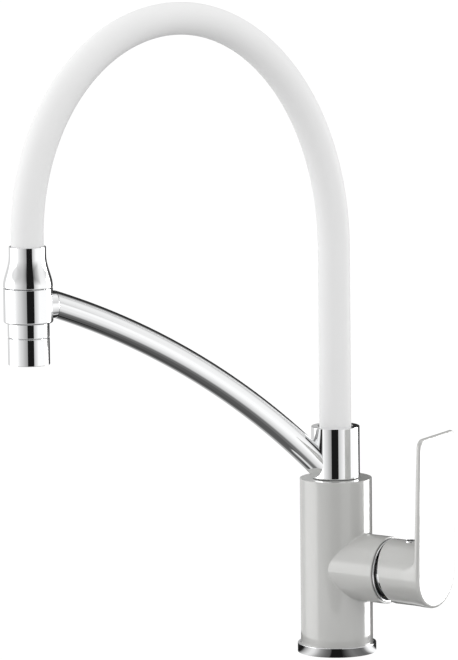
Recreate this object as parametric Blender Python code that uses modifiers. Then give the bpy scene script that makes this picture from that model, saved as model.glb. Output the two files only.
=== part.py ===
"""Kitchen faucet with a flexible spout hose, held by a curved arm, and a side lever.

The body axis is Z and the deck is the plane Z = 0. The spout lies in the XZ plane and points
to -X. The lever's boss leaves the body at HANDLE_ANGLE about Z. Lengths are in metres.
"""

import math

import bmesh
import bpy
from mathutils import Matrix, Vector

# Fits shared by all pieces
SEAT_GAP = 0.0003
CUT_OVERRUN = 0.0010
MERGE_DISTANCE = 0.00001

# Edges sharper than these stay sharp, or get a round edge
SHARP_ANGLE = math.radians(35)
ROUNDED_ANGLE = math.radians(50)

# Numbers of sides
LARGE_SIDES = 28
MEDIUM_SIDES = 20
SMALL_SIDES = 12
HOLE_SIDES = 8
NOZZLE_SIDES = 6
ROD_SPIN = math.radians(4)

# Body casting
BODY_RADIUS = 0.0250
BODY_HEIGHT = 0.1220
BODY_EDGE = 0.0006
HANDLE_ANGLE = math.radians(-62)
BOSS_HEIGHT = 0.0610
BOSS_RADIUS = 0.0233
BOSS_REACH = 0.0450
BOSS_EDGE = 0.0008
SPIGOT_BORE_DEPTH = 0.0270

# Base trim
BASE_RING_WALL = 0.0020
BASE_RING_HEIGHT = 0.0065
BASE_RING_EDGE = 0.0007
BASE_SEAL_INSET = 0.0019
BASE_SEAL_WIDTH = 0.0028
BASE_SEAL_HEIGHT = 0.0015

# Water ways in the casting, in the frame whose X runs along the lever's boss
SUPPLY_X = 0.0050
SUPPLY_SPREAD = 0.0072
SUPPLY_RADIUS = 0.0026
SUPPLY_PORT_RADIUS = 0.0050
SUPPLY_PORT_DEPTH = 0.0120
STUD_HOLE_X = -0.0125
STUD_HOLE_RADIUS = 0.0040
STUD_HOLE_DEPTH = 0.0180
RISER_X = -0.0020

# Cartridge stack, measured outwards along the boss from the body axis
CARTRIDGE_FLOOR = 0.0120
CARTRIDGE_RADIUS = 0.0175
VALVE_BASE_THICKNESS = 0.0040
DISC_THICKNESS = 0.0030
FIXED_DISC_RADIUS = 0.0140
MOVING_DISC_RADIUS = 0.0110
MOVING_DISC_START = -0.0024
MIXING_RECESS_RADIUS = 0.0049
MIXING_RECESS_DROP = 0.0019
MIXING_RECESS_DEPTH = 0.0015
INLET_SPREAD = 0.0052
INLET_RISE = 0.0036
INLET_RADIUS = 0.0021
OUTLET_DROP = 0.0040
OUTLET_RADIUS = 0.0024
PORT_SEAL_WALL = 0.0010
PORT_SEAL_HEIGHT = 0.0012
DISC_DRIVER_THICKNESS = 0.0038
DISC_DRIVER_RADIUS = 0.0105
HOUSING_WALL = 0.0029
HOUSING_SHOULDER = 0.0214
HOUSING_NECK_RADIUS = 0.0136
HOUSING_NECK_WALL = 0.0018
HOUSING_NECK_HEIGHT = 0.0146
CARRIER_FLANGE_RADIUS = 0.0142
CARRIER_FLANGE_THICKNESS = 0.0031
NUT_RADIUS = 0.0197
NUT_THICKNESS = 0.0063
NUT_NOTCH_WIDTH = 0.0040
NUT_NOTCH_DEPTH = 0.0020
NUT_NOTCH_COUNT = 6

# Dome cover over the cartridge nut
COVER_FLANGE_RADIUS = 0.0227
COVER_FLANGE_THICKNESS = 0.0010
COVER_FLANGE_EDGE = 0.0004
COVER_DOME_RADIUS = 0.0179
COVER_WALL = 0.0013
COVER_MOUTH_RADIUS = 0.0100
COVER_ARC_STEPS = 3

# Lever stem and its pivot
PIVOT_REACH = 0.0420
PIVOT_PIN_RADIUS = 0.0014
PIVOT_PIN_LENGTH = 0.0220
STEM_WIDTH = 0.0076
STEM_FOOT = 0.0120
STEM_REACH = 0.0280
STEM_BALL_RADIUS = 0.0024
STEM_BALL_DISTANCE = 0.0160
STEM_BALL_STEPS = 4
STEM_NECK_RADIUS = 0.0018
DRIVER_SLACK = 0.0002
LEVER_TRAVEL = math.radians(17)

# Handle: round neck that runs into a flat upright paddle
NECK_RADIUS = 0.0222
NECK_WALL = 0.0034
NECK_CAVITY_STEPS = 4
NECK_RIM_REACH = 0.0502
NECK_RIM_TILT = math.radians(9)
NECK_FLARE_START = 0.0680
NECK_FLARE_STEPS = 5
NECK_FOOT_INSET = 0.0002
PADDLE_FRONT = 0.0854
PADDLE_LEAN = math.radians(1)
PADDLE_HALF_WIDTH = 0.0213
PADDLE_FOOT_RADIUS = 0.0226
PADDLE_TOP = 0.0979
PADDLE_TOP_SLANT = math.radians(3)
PADDLE_CORNER_RADIUS = 0.0045
PADDLE_THICKNESS = 0.0036
PADDLE_TAPER = math.radians(0.6)
PADDLE_EDGE = 0.0007
PADDLE_FOOT_STEPS = 22
PADDLE_CORNER_STEPS = 5
PADDLE_EDGE_STEPS = 2

# Fixing screw of the handle and its plug
SCREW_REACH = 0.0632
SCREW_RADIUS = 0.0024
SCREW_LENGTH = 0.0080
SCREW_SOCKET_RADIUS = 0.0014
SCREW_SOCKET_DEPTH = 0.0025
HEX_SIDES = 6
PLUG_RADIUS = 0.0047
PLUG_THICKNESS = 0.0026
PLUG_PROUD = 0.0004
PLUG_EDGE = 0.0006

# Swivel on top of the body
COLLAR_GAP = 0.0004
COLLAR_RADIUS = 0.0168
COLLAR_HEIGHT = 0.0358
COLLAR_EDGE = 0.0005
COLLAR_SHELF = 0.0176
SPIGOT_RADIUS = 0.0092
SPIGOT_THREAD_RADIUS = 0.0107
SPIGOT_BORE_RADIUS = 0.0050
SPIGOT_TIP = 0.0030
ORING_THICKNESS = 0.0012
ORING_GROOVE_SLACK = 0.0003
ORING_HEIGHTS = {"lower": 0.0065, "upper": 0.0125}
WASHER_RADIUS = 0.0150
WASHER_THICKNESS = 0.0006
CLIP_THICKNESS = 0.0010
CLIP_DEPTH = 0.0010
CLIP_WIDTH = 0.0024
CLIP_MOUTH = 0.0050

# Spout hose: sleeve and inner hose with a barbed nipple at each end
SLEEVE_RADIUS = 0.0111
HOSE_CORE_RADIUS = 0.0074
HOSE_CORE_WALL = 0.0024
HOSE_POCKET_GAP = 0.0004
NIPPLE_BORE_RADIUS = 0.0032
NIPPLE_GAP = 0.0006
NIPPLE_BARB_LENGTH = 0.0180
NIPPLE_BARB_DEPTH = 0.0006
NIPPLE_BARB_COUNT = 3
COLLAR_NIPPLE_THICKNESS = 0.0064
SPOUT_REACH = 0.2300
HOSE_RISE_TOP = 0.1610
HOSE_APEX = 0.3232
HOSE_APEX_REACH_SHARE = 0.513
HOSE_ABOVE_CONE = 0.0057
HOSE_QUARTER_STEPS = 9

# Arm from the collar to the holder ring
ARM_RADIUS = 0.0090
ARM_WALL = 0.0015
ARM_BEND_RADIUS = 0.5340
ARM_FOOT_DROP = 0.0032
ARM_TIP_RISE = 0.0177
ARM_STEPS = 10

# Holder ring
RING_LIFT = 0.1236
RING_HEIGHT = 0.0236
RING_RADIUS = 0.0167
RING_WALL = 0.0012
RING_EDGE = 0.0004
RING_FOOT_ROUND = 0.0016
RING_FOOT_STEPS = 3
RING_LIP_THICKNESS = 0.0010
RING_LIP_GAP = 0.0004
LUG_RADIUS = 0.0094
LUG_ROOT_RADIUS = 0.0106
LUG_REACH = 0.0024
LINER_THICKNESS = 0.0008

# Spray head
BARREL_RADIUS = 0.0141
BARREL_LENGTH = 0.0334
BARREL_BORE_RADIUS = 0.0090
BARREL_EDGE = 0.0003
BARREL_THREAD_RADIUS = 0.0125
BARREL_THREAD_LENGTH = 0.0065
CONE_HEIGHT = 0.0278
CONE_RADIUS = 0.0167
CONE_MOUTH_RADIUS = 0.0125
CONE_MOUTH_EDGE = 0.0004
CONE_SKIRT = 0.0012
CONE_BELL_TOP = 0.0225
CONE_BELL_STEPS = 6
CONE_BELL_POWER = 1.15
CONE_POCKET_DEPTH = 0.0130
CONE_SHELF_THICKNESS = 0.0040
CONE_SHELF_RADIUS = 0.0090
OUTLET_HEIGHT = 0.0181
OUTLET_WALL = 0.0012
OUTLET_FACE_DEPTH = 0.0008
OUTLET_EDGE = 0.0004
SLEEVE_STEM_RADIUS = 0.0115
SLEEVE_STEM_LENGTH = 0.0115
FACE_CHAMBER = 0.0061
FACE_THICKNESS = 0.0020
NOZZLE_CIRCLES = ((10, 0.0097),)
NOZZLE_RADIUS = 0.0007
AERATOR_RADIUS = 0.0063
AERATOR_HEIGHT = 0.0048
AERATOR_HOLE_RADIUS = 0.0008
AERATOR_CIRCLES = ((3, 0.0019), (8, 0.0044))
HOLE_START_SHARE = 0.13

# Places worked out from the sizes above
BASE_SEAL_RADIUS = BODY_RADIUS - BASE_SEAL_INSET
COLLAR_FOOT = BODY_HEIGHT + COLLAR_GAP
COLLAR_TOP = COLLAR_FOOT + COLLAR_HEIGHT
SPIGOT_TOP = COLLAR_FOOT + COLLAR_SHELF + SPIGOT_TIP
HOSE_FOOT = SPIGOT_TOP + SEAT_GAP + COLLAR_NIPPLE_THICKNESS + SEAT_GAP
RING_FOOT = BODY_HEIGHT + RING_LIFT
RING_TOP = RING_FOOT + RING_HEIGHT
CONE_FOOT = RING_TOP + SEAT_GAP
CONE_TOP = CONE_FOOT + CONE_HEIGHT
HOSE_HEAD_END = CONE_TOP - CONE_POCKET_DEPTH + SEAT_GAP
BARREL_TOP = CONE_FOOT - SEAT_GAP
BARREL_FOOT = BARREL_TOP - BARREL_LENGTH
OUTLET_TOP = BARREL_FOOT - SEAT_GAP
OUTLET_FOOT = OUTLET_TOP - OUTLET_HEIGHT
VALVE_BASE_FOOT = CARTRIDGE_FLOOR + SEAT_GAP
FIXED_DISC_FOOT = VALVE_BASE_FOOT + VALVE_BASE_THICKNESS + SEAT_GAP
MOVING_DISC_FOOT = FIXED_DISC_FOOT + DISC_THICKNESS + SEAT_GAP
DISC_DRIVER_FOOT = MOVING_DISC_FOOT + DISC_THICKNESS + SEAT_GAP
HOUSING_FOOT = FIXED_DISC_FOOT
SHOULDER_REACH = CARTRIDGE_FLOOR + HOUSING_SHOULDER
HOUSING_TOP = SHOULDER_REACH + HOUSING_NECK_HEIGHT
HOUSING_BORE = CARTRIDGE_RADIUS - HOUSING_WALL
HOUSING_NECK_BORE = HOUSING_NECK_RADIUS - HOUSING_NECK_WALL
HOUSING_CEILING = SHOULDER_REACH - HOUSING_NECK_WALL - SEAT_GAP
COVER_FOOT = BOSS_REACH + SEAT_GAP

PARTS = "flexible_kitchen_faucet"
CUTTERS = "cutters"

# Looks as colour, roughness and metallic value
WHITE_PAINT = ((0.80, 0.80, 0.79), 0.22, 0.0)
CHROME = ((0.86, 0.87, 0.88), 0.06, 1.0)
BRASS = ((0.78, 0.60, 0.30), 0.30, 1.0)
STEEL = ((0.55, 0.56, 0.58), 0.35, 1.0)
SILICONE = ((0.84, 0.84, 0.83), 0.55, 0.0)
HOSE_RUBBER = ((0.20, 0.20, 0.21), 0.60, 0.0)
SEAL_RUBBER = ((0.03, 0.03, 0.03), 0.70, 0.0)
GREY_PLASTIC = ((0.55, 0.56, 0.57), 0.45, 0.0)
WHITE_PLASTIC = ((0.78, 0.78, 0.76), 0.40, 0.0)
CERAMIC = ((0.88, 0.86, 0.82), 0.25, 0.0)


def clear_file():
    """Removes all objects and makes the two collections."""
    for obj in list(bpy.data.objects):
        bpy.data.objects.remove(obj, do_unlink=True)
    for name in (PARTS, CUTTERS):
        folder = bpy.data.collections.new(name)
        bpy.context.scene.collection.children.link(folder)
    bpy.data.collections[CUTTERS].hide_render = True


def finish(name, colour, roughness, metallic):
    """A plain material."""
    material = bpy.data.materials.new(name)
    material.use_nodes = True
    shader = material.node_tree.nodes["Principled BSDF"]
    shader.inputs["Base Color"].default_value = (*colour, 1)
    shader.inputs["Roughness"].default_value = roughness
    shader.inputs["Metallic"].default_value = metallic
    material.diffuse_color = (*colour, 1)
    return material


def add_object(name, mesh, look, parent):
    """Places a mesh as a piece with a look, or as a cutter where the look is None."""
    obj = bpy.data.objects.new(name, mesh)
    obj.parent = parent
    if look is None:
        bpy.data.collections[CUTTERS].objects.link(obj)
        obj.hide_render = True
        obj.display_type = "WIRE"
    else:
        bpy.data.collections[PARTS].objects.link(obj)
        mesh.materials.append(finish(name + "_finish", *look))
    return obj


def frame(name, location=(0, 0, 0), rotation=(0, 0, 0), parent=None):
    """An empty that carries pieces."""
    empty = bpy.data.objects.new(name, None)
    empty.location = location
    empty.rotation_euler = rotation
    empty.parent = parent
    empty.empty_display_size = BODY_RADIUS
    bpy.data.collections[PARTS].objects.link(empty)
    return empty


def smooth(mesh):
    mesh.shade_smooth()
    mesh.set_sharp_from_angle(angle=SHARP_ANGLE)


def turned(name, outline, look=None, parent=None, sides=MEDIUM_SIDES, at=(0, 0)):
    """Turns (radius, height) points about Z. The outline runs down the outer side, and closes
    on itself where it stays off the axis."""
    count = len(outline)
    edges = [(i, i + 1) for i in range(count - 1)]
    if min(radius for radius, _ in outline) > 0:
        edges.append((count - 1, 0))
    mesh = bpy.data.meshes.new(name)
    mesh.from_pydata([(radius, 0, height) for radius, height in outline], edges, [])
    obj = add_object(name, mesh, look, parent)
    obj.location = (*at, 0)
    screw = obj.modifiers.new("Turn", "SCREW")
    screw.steps = screw.render_steps = sides
    screw.use_merge_vertices = True
    screw.merge_threshold = MERGE_DISTANCE
    return obj


def rod(name, radius, low, high, look=None, parent=None, at=(0, 0), sides=SMALL_SIDES, end_radius=None):
    """A rod or a cone along Z, spun a little so that its corners miss the seams of turned faces."""
    place = Matrix.Translation((*at, (low + high) / 2)) @ Matrix.Rotation(ROD_SPIN, 4, "Z")
    solid = bmesh.new()
    bmesh.ops.create_cone(
        solid,
        cap_ends=True,
        segments=sides,
        radius1=radius,
        radius2=radius if end_radius is None else end_radius,
        depth=high - low,
        matrix=place,
    )
    mesh = bpy.data.meshes.new(name)
    solid.to_mesh(mesh)
    solid.free()
    smooth(mesh)
    return add_object(name, mesh, look, parent)


def block(name, low, high, look=None, parent=None):
    """A box between two corners."""
    low, high = Vector(low), Vector(high)
    solid = bmesh.new()
    bmesh.ops.create_cube(solid, size=1)
    bmesh.ops.scale(solid, verts=solid.verts, vec=high - low)
    bmesh.ops.translate(solid, verts=solid.verts, vec=(low + high) / 2)
    mesh = bpy.data.meshes.new(name)
    solid.to_mesh(mesh)
    solid.free()
    return add_object(name, mesh, look, parent)


def combine(obj, tool, operation="DIFFERENCE"):
    change = obj.modifiers.new(tool.name, "BOOLEAN")
    change.operation = operation
    change.solver = "EXACT"
    change.object = tool


def curve_mesh(curve):
    """The mesh of a curve, with its loose ends merged."""
    holder = bpy.data.objects.new(curve.name, curve)
    bpy.context.scene.collection.objects.link(holder)
    mesh = bpy.data.meshes.new_from_object(holder.evaluated_get(bpy.context.evaluated_depsgraph_get()))
    bpy.data.objects.remove(holder, do_unlink=True)
    solid = bmesh.new()
    solid.from_mesh(mesh)
    bmesh.ops.remove_doubles(solid, verts=solid.verts, dist=MERGE_DISTANCE)
    solid.to_mesh(mesh)
    solid.free()
    return mesh


def tube(name, route, radius, wall, look, parent=None, resolution=5):
    """A hollow tube along (x, z) points in the XZ plane, open at both ends."""
    curve = bpy.data.curves.new(name, "CURVE")
    curve.dimensions = "3D"
    curve.bevel_depth = radius
    curve.bevel_resolution = resolution
    spline = curve.splines.new("POLY")
    spline.points.add(len(route) - 1)
    for point, (x, z) in zip(spline.points, route):
        point.co = (x, 0, z, 1)
    mesh = curve_mesh(curve)
    smooth(mesh)
    obj = add_object(name, mesh, look, parent)
    shell = obj.modifiers.new("Wall", "SOLIDIFY")
    shell.thickness = wall
    shell.offset = -1
    return obj


def plate(name, outline, front, back):
    """A flat piece in XY from its outline. Functions of y give its front and back heights."""
    curve = bpy.data.curves.new(name, "CURVE")
    curve.dimensions = "2D"
    curve.fill_mode = "BOTH"
    curve.extrude = PADDLE_THICKNESS / 2
    spline = curve.splines.new("POLY")
    spline.points.add(len(outline) - 1)
    for point, (x, y) in zip(spline.points, outline):
        point.co = (x, y, 0, 1)
    spline.use_cyclic_u = True
    mesh = curve_mesh(curve)
    for vertex in mesh.vertices:
        height = front if vertex.co.z > 0 else back
        vertex.co.z = height(vertex.co.y)
    smooth(mesh)
    return mesh


def arc(centre, radius, start, end, steps):
    """Points of an arc in degrees, ends included."""
    angles = [math.radians(start + (end - start) * i / steps) for i in range(steps + 1)]
    return [(centre[0] + radius * math.cos(a), centre[1] + radius * math.sin(a)) for a in angles]


def rounded_corner(before, corner, after, radius, steps):
    """Points of a fillet between the sides before-corner and corner-after."""
    corner = Vector(corner)
    into = (Vector(before) - corner).normalized()
    away = (Vector(after) - corner).normalized()
    half = into.angle(away) / 2
    centre = corner + (into + away).normalized() * radius / math.sin(half)
    first = corner + into * radius / math.tan(half) - centre
    turn = first.angle_signed(corner + away * radius / math.tan(half) - centre)
    start = math.atan2(first.y, first.x)
    return arc(centre, radius, math.degrees(start), math.degrees(start - turn), steps)


def body_casting(side, boss):
    body = turned(
        "body",
        [
            (0, BODY_HEIGHT),
            (BODY_RADIUS - BODY_EDGE, BODY_HEIGHT),
            (BODY_RADIUS, BODY_HEIGHT - BODY_EDGE),
            (BODY_RADIUS, 0),
            (0, 0),
        ],
        WHITE_PAINT,
        sides=LARGE_SIDES,
    )
    arm = turned(
        "boss_form",
        [
            (0, BOSS_REACH),
            (BOSS_RADIUS - BOSS_EDGE, BOSS_REACH),
            (BOSS_RADIUS, BOSS_REACH - BOSS_EDGE),
            (BOSS_RADIUS, 0),
            (0, 0),
        ],
        parent=boss,
        sides=LARGE_SIDES,
    )
    combine(body, arm, "UNION")
    combine(body, cartridge_bore(boss))
    spigot_bore = rod(
        "spigot_bore",
        SPIGOT_THREAD_RADIUS + SEAT_GAP,
        BODY_HEIGHT - SPIGOT_BORE_DEPTH,
        BODY_HEIGHT + CUT_OVERRUN,
        sides=MEDIUM_SIDES,
    )
    combine(body, spigot_bore)
    combine(body, seal_groove())
    for channel in supply_ways(side, boss) + outlet_way(side, boss):
        combine(body, channel)
    stud_hole = rod(
        "stud_hole", STUD_HOLE_RADIUS, -CUT_OVERRUN, STUD_HOLE_DEPTH, parent=side, at=(STUD_HOLE_X, 0)
    )
    combine(body, stud_hole)


def cartridge_bore(boss):
    """The stepped bore for the cartridge and, wider, for its nut."""
    mouth = NUT_RADIUS + SEAT_GAP
    bore = CARTRIDGE_RADIUS + SEAT_GAP
    step = SHOULDER_REACH - SEAT_GAP
    outline = [
        (0, BOSS_REACH + CUT_OVERRUN),
        (mouth, BOSS_REACH + CUT_OVERRUN),
        (mouth, step),
        (bore, step),
        (bore, CARTRIDGE_FLOOR),
        (0, CARTRIDGE_FLOOR),
    ]
    return turned("cartridge_bore", outline, parent=boss)


def seal_groove():
    outer = BASE_SEAL_RADIUS + SEAT_GAP
    inner = BASE_SEAL_RADIUS - BASE_SEAL_WIDTH - SEAT_GAP
    top = BASE_SEAL_HEIGHT + SEAT_GAP
    outline = [(outer, top), (outer, -CUT_OVERRUN), (inner, -CUT_OVERRUN), (inner, top)]
    return turned("seal_groove", outline)


def supply_ways(side, boss):
    """Hot and cold ways: a port in the underside, a riser, and a way to the cartridge."""
    ways = []
    for label, sign in (("hot", -1), ("cold", 1)):
        place = (SUPPLY_X, sign * SUPPLY_SPREAD)
        port = rod(
            label + "_port", SUPPLY_PORT_RADIUS, -CUT_OVERRUN, SUPPLY_PORT_DEPTH, parent=side, at=place
        )
        top = BOSS_HEIGHT + INLET_RISE
        riser = rod(label + "_riser", SUPPLY_RADIUS, 0, top, parent=side, at=place, sides=HOLE_SIDES)
        way = rod(
            label + "_way",
            INLET_RADIUS,
            SUPPLY_X,
            CARTRIDGE_FLOOR + CUT_OVERRUN,
            parent=boss,
            at=(sign * INLET_SPREAD, INLET_RISE),
            sides=HOLE_SIDES,
        )
        ways += [port, riser, way]
    return ways


def outlet_way(side, boss):
    """Mixed water runs back past the body axis, then up to the spigot."""
    back = rod(
        "mixed_way",
        OUTLET_RADIUS,
        RISER_X,
        CARTRIDGE_FLOOR + CUT_OVERRUN,
        parent=boss,
        at=(0, -OUTLET_DROP),
        sides=HOLE_SIDES,
    )
    up = rod(
        "mixed_riser",
        OUTLET_RADIUS,
        BOSS_HEIGHT - OUTLET_DROP,
        BODY_HEIGHT - SPIGOT_BORE_DEPTH + CUT_OVERRUN,
        parent=side,
        at=(RISER_X, 0),
        sides=HOLE_SIDES,
    )
    return [back, up]


def base_trim():
    inner = BODY_RADIUS + SEAT_GAP
    outer = inner + BASE_RING_WALL
    turned(
        "base_ring",
        [
            (outer - BASE_RING_EDGE, BASE_RING_HEIGHT),
            (outer, BASE_RING_HEIGHT - BASE_RING_EDGE),
            (outer, 0),
            (inner, 0),
            (inner, BASE_RING_HEIGHT),
        ],
        CHROME,
        sides=LARGE_SIDES,
    )
    seal_inner = BASE_SEAL_RADIUS - BASE_SEAL_WIDTH
    square_ring("base_seal", seal_inner, BASE_SEAL_RADIUS, 0, BASE_SEAL_HEIGHT, SEAL_RUBBER)


def cartridge_ports():
    """The place and radius of each way through the valve base and the fixed disc."""
    return (
        ("hot", (-INLET_SPREAD, INLET_RISE), INLET_RADIUS),
        ("cold", (INLET_SPREAD, INLET_RISE), INLET_RADIUS),
        ("mixed", (0, -OUTLET_DROP), OUTLET_RADIUS),
    )


def valve_base(boss):
    top = VALVE_BASE_FOOT + VALVE_BASE_THICKNESS
    base = rod("valve_base", CARTRIDGE_RADIUS, VALVE_BASE_FOOT, top, GREY_PLASTIC, boss, sides=MEDIUM_SIDES)
    disc = rod(
        "fixed_disc",
        FIXED_DISC_RADIUS,
        FIXED_DISC_FOOT,
        FIXED_DISC_FOOT + DISC_THICKNESS,
        CERAMIC,
        boss,
        sides=MEDIUM_SIDES,
    )
    for label, place, radius in cartridge_ports():
        low, high = VALVE_BASE_FOOT - CUT_OVERRUN, FIXED_DISC_FOOT + DISC_THICKNESS + CUT_OVERRUN
        hole = rod(label + "_hole", radius, low, high, parent=boss, at=place, sides=HOLE_SIDES)
        seat_radius = radius + SEAT_GAP + PORT_SEAL_WALL + SEAT_GAP
        seat_top = VALVE_BASE_FOOT + PORT_SEAL_HEIGHT + SEAT_GAP
        seat = rod(label + "_seat", seat_radius, low, seat_top, parent=boss, at=place)
        combine(base, hole)
        combine(base, seat)
        combine(disc, hole)


def square_ring(name, inner, outer, low, high, look=None, parent=None, sides=MEDIUM_SIDES, at=(0, 0)):
    """A ring of rectangular section."""
    outline = [(outer, high), (outer, low), (inner, low), (inner, high)]
    return turned(name, outline, look, parent, sides, at)


def port_seals(boss):
    """A rubber ring in the valve base round each way."""
    top = VALVE_BASE_FOOT + PORT_SEAL_HEIGHT
    for label, place, radius in cartridge_ports():
        inner = radius + SEAT_GAP
        outer = inner + PORT_SEAL_WALL
        square_ring(
            label + "_port_seal", inner, outer, VALVE_BASE_FOOT, top, SEAL_RUBBER, boss, SMALL_SIDES, place
        )


def moving_disc(boss):
    """The upper ceramic disc, with the recess that joins the ports, and the driver on it."""
    centre = (0, MOVING_DISC_START)
    disc = rod(
        "moving_disc",
        MOVING_DISC_RADIUS,
        MOVING_DISC_FOOT,
        MOVING_DISC_FOOT + DISC_THICKNESS,
        CERAMIC,
        boss,
        centre,
        MEDIUM_SIDES,
    )
    recess = rod(
        "mixing_recess",
        MIXING_RECESS_RADIUS,
        MOVING_DISC_FOOT - CUT_OVERRUN,
        MOVING_DISC_FOOT + MIXING_RECESS_DEPTH,
        parent=boss,
        at=(0, MOVING_DISC_START - MIXING_RECESS_DROP),
    )
    combine(disc, recess)
    top = DISC_DRIVER_FOOT + DISC_DRIVER_THICKNESS
    driver = rod(
        "disc_driver", DISC_DRIVER_RADIUS, DISC_DRIVER_FOOT, top, WHITE_PLASTIC, boss, centre, MEDIUM_SIDES
    )
    socket_radius = STEM_BALL_RADIUS + SEAT_GAP + DRIVER_SLACK
    socket = rod(
        "driver_socket", socket_radius, DISC_DRIVER_FOOT - CUT_OVERRUN, top + CUT_OVERRUN, parent=boss
    )
    combine(driver, socket)


def cartridge_housing(boss):
    turned(
        "cartridge_housing",
        [
            (HOUSING_NECK_RADIUS, HOUSING_TOP),
            (HOUSING_NECK_RADIUS, SHOULDER_REACH),
            (CARTRIDGE_RADIUS, SHOULDER_REACH),
            (CARTRIDGE_RADIUS, HOUSING_FOOT),
            (HOUSING_BORE, HOUSING_FOOT),
            (HOUSING_BORE, HOUSING_CEILING),
            (HOUSING_NECK_BORE, HOUSING_CEILING),
            (HOUSING_NECK_BORE, HOUSING_TOP),
        ],
        GREY_PLASTIC,
        boss,
    )


def cartridge_carrier(boss, pivot):
    """The spindle that turns in the housing and holds the lever's pin."""
    radius = HOUSING_NECK_BORE - SEAT_GAP
    flange_top = HOUSING_CEILING - SEAT_GAP
    flange_foot = flange_top - CARRIER_FLANGE_THICKNESS
    carrier = turned(
        "cartridge_carrier",
        [
            (0, HOUSING_TOP - SEAT_GAP),
            (radius, HOUSING_TOP - SEAT_GAP),
            (radius, flange_top),
            (CARRIER_FLANGE_RADIUS, flange_top),
            (CARRIER_FLANGE_RADIUS, flange_foot),
            (0, flange_foot),
        ],
        WHITE_PLASTIC,
        boss,
    )
    half = STEM_WIDTH / 2
    foot_swing = STEM_FOOT * math.sin(LEVER_TRAVEL) + half
    head_swing = (HOUSING_TOP - PIVOT_REACH) * math.sin(LEVER_TRAVEL) + half
    slot = block(
        "stem_slot",
        (-half - SEAT_GAP, -head_swing - 2 * SEAT_GAP, flange_foot - CUT_OVERRUN),
        (half + SEAT_GAP, foot_swing + 2 * SEAT_GAP, HOUSING_TOP + CUT_OVERRUN),
        parent=boss,
    )
    combine(carrier, slot)
    hole = cross_rod("pin_hole", PIVOT_PIN_RADIUS + SEAT_GAP, PIVOT_PIN_LENGTH + CUT_OVERRUN, None, pivot)
    combine(carrier, hole)
    cross_rod("pivot_pin", PIVOT_PIN_RADIUS, PIVOT_PIN_LENGTH, STEEL, pivot)


def cross_rod(name, radius, length, look, pivot):
    """A rod along the lever's pivot axis, which is the frame's own X."""
    across = rod(name, radius, -length / 2, length / 2, look, pivot, sides=HOLE_SIDES)
    across.rotation_euler = (0, math.pi / 2, 0)
    return across


def cartridge_nut(boss):
    foot = SHOULDER_REACH + SEAT_GAP
    top = foot + NUT_THICKNESS
    nut = square_ring("cartridge_nut", HOUSING_NECK_RADIUS + SEAT_GAP, NUT_RADIUS, foot, top, BRASS, boss)
    for index in range(NUT_NOTCH_COUNT):
        notch = block(
            f"nut_notch_{index + 1}",
            (0, -NUT_NOTCH_WIDTH / 2, top - NUT_NOTCH_DEPTH),
            (HOUSING_NECK_RADIUS + NUT_NOTCH_DEPTH, NUT_NOTCH_WIDTH / 2, top + CUT_OVERRUN),
            parent=boss,
        )
        notch.rotation_euler = (0, 0, 2 * math.pi * index / NUT_NOTCH_COUNT)
        combine(nut, notch)


def dome_arc(radius, foot):
    """The dome's outline about the pivot, from its mouth down to a height."""
    mouth = math.degrees(math.acos(COVER_MOUTH_RADIUS / radius))
    base = math.degrees(math.asin(foot / radius))
    return arc((0, 0), radius, mouth, base, COVER_ARC_STEPS)


def cartridge_cover(pivot):
    """A chrome dome centred on the pivot, so that the hollow neck swings over it."""
    foot = lever_frame_height(COVER_FOOT)
    top = foot + COVER_FLANGE_THICKNESS
    inner_radius = COVER_DOME_RADIUS - COVER_WALL
    skirt_foot = lever_frame_height(SHOULDER_REACH + SEAT_GAP + NUT_THICKNESS + SEAT_GAP)
    inner = dome_arc(inner_radius, foot)
    outline = [
        *dome_arc(COVER_DOME_RADIUS, top),
        (COVER_FLANGE_RADIUS - COVER_FLANGE_EDGE, top),
        (COVER_FLANGE_RADIUS, top - COVER_FLANGE_EDGE),
        (COVER_FLANGE_RADIUS, foot),
        (NUT_RADIUS, foot),
        (NUT_RADIUS, skirt_foot),
        (inner[-1][0], skirt_foot),
        *reversed(inner),
    ]
    turned("cartridge_cover", outline, CHROME, pivot, LARGE_SIDES)


def lever_stem(pivot):
    """Square bar that crosses the pin, with a ball end that moves the disc driver."""
    half = STEM_WIDTH / 2
    stem = block("lever_stem", (-half, -half, -STEM_FOOT), (half, half, STEM_REACH), BRASS, pivot)
    hole = cross_rod("stem_pin_hole", PIVOT_PIN_RADIUS + SEAT_GAP, STEM_WIDTH + CUT_OVERRUN, None, pivot)
    combine(stem, hole)
    neck_angle = math.degrees(math.acos(STEM_NECK_RADIUS / STEM_BALL_RADIUS))
    ball = [
        (0, -STEM_FOOT + CUT_OVERRUN),
        (STEM_NECK_RADIUS, -STEM_FOOT + CUT_OVERRUN),
        *arc((0, -STEM_BALL_DISTANCE), STEM_BALL_RADIUS, neck_angle, -90, STEM_BALL_STEPS)[:-1],
        (0, -STEM_BALL_DISTANCE - STEM_BALL_RADIUS),
    ]
    combine(stem, turned("stem_ball", ball, parent=pivot, sides=HOLE_SIDES), "UNION")


def paddle_outline():
    """Round foot about the boss axis, straight sides, and a slightly slanted top."""
    slant = PADDLE_HALF_WIDTH * math.tan(PADDLE_TOP_SLANT)
    foot = arc((0, 0), PADDLE_FOOT_RADIUS, 180, 360, PADDLE_FOOT_STEPS)
    right = (PADDLE_HALF_WIDTH, PADDLE_TOP + slant)
    left = (-PADDLE_HALF_WIDTH, PADDLE_TOP - slant)
    return [
        *foot,
        *rounded_corner(foot[-1], right, left, PADDLE_CORNER_RADIUS, PADDLE_CORNER_STEPS),
        *rounded_corner(right, left, foot[0], PADDLE_CORNER_RADIUS, PADDLE_CORNER_STEPS),
    ]


def paddle_front(y):
    return lever_frame_height(PADDLE_FRONT) + (y - PADDLE_TOP) * math.tan(PADDLE_LEAN)


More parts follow.
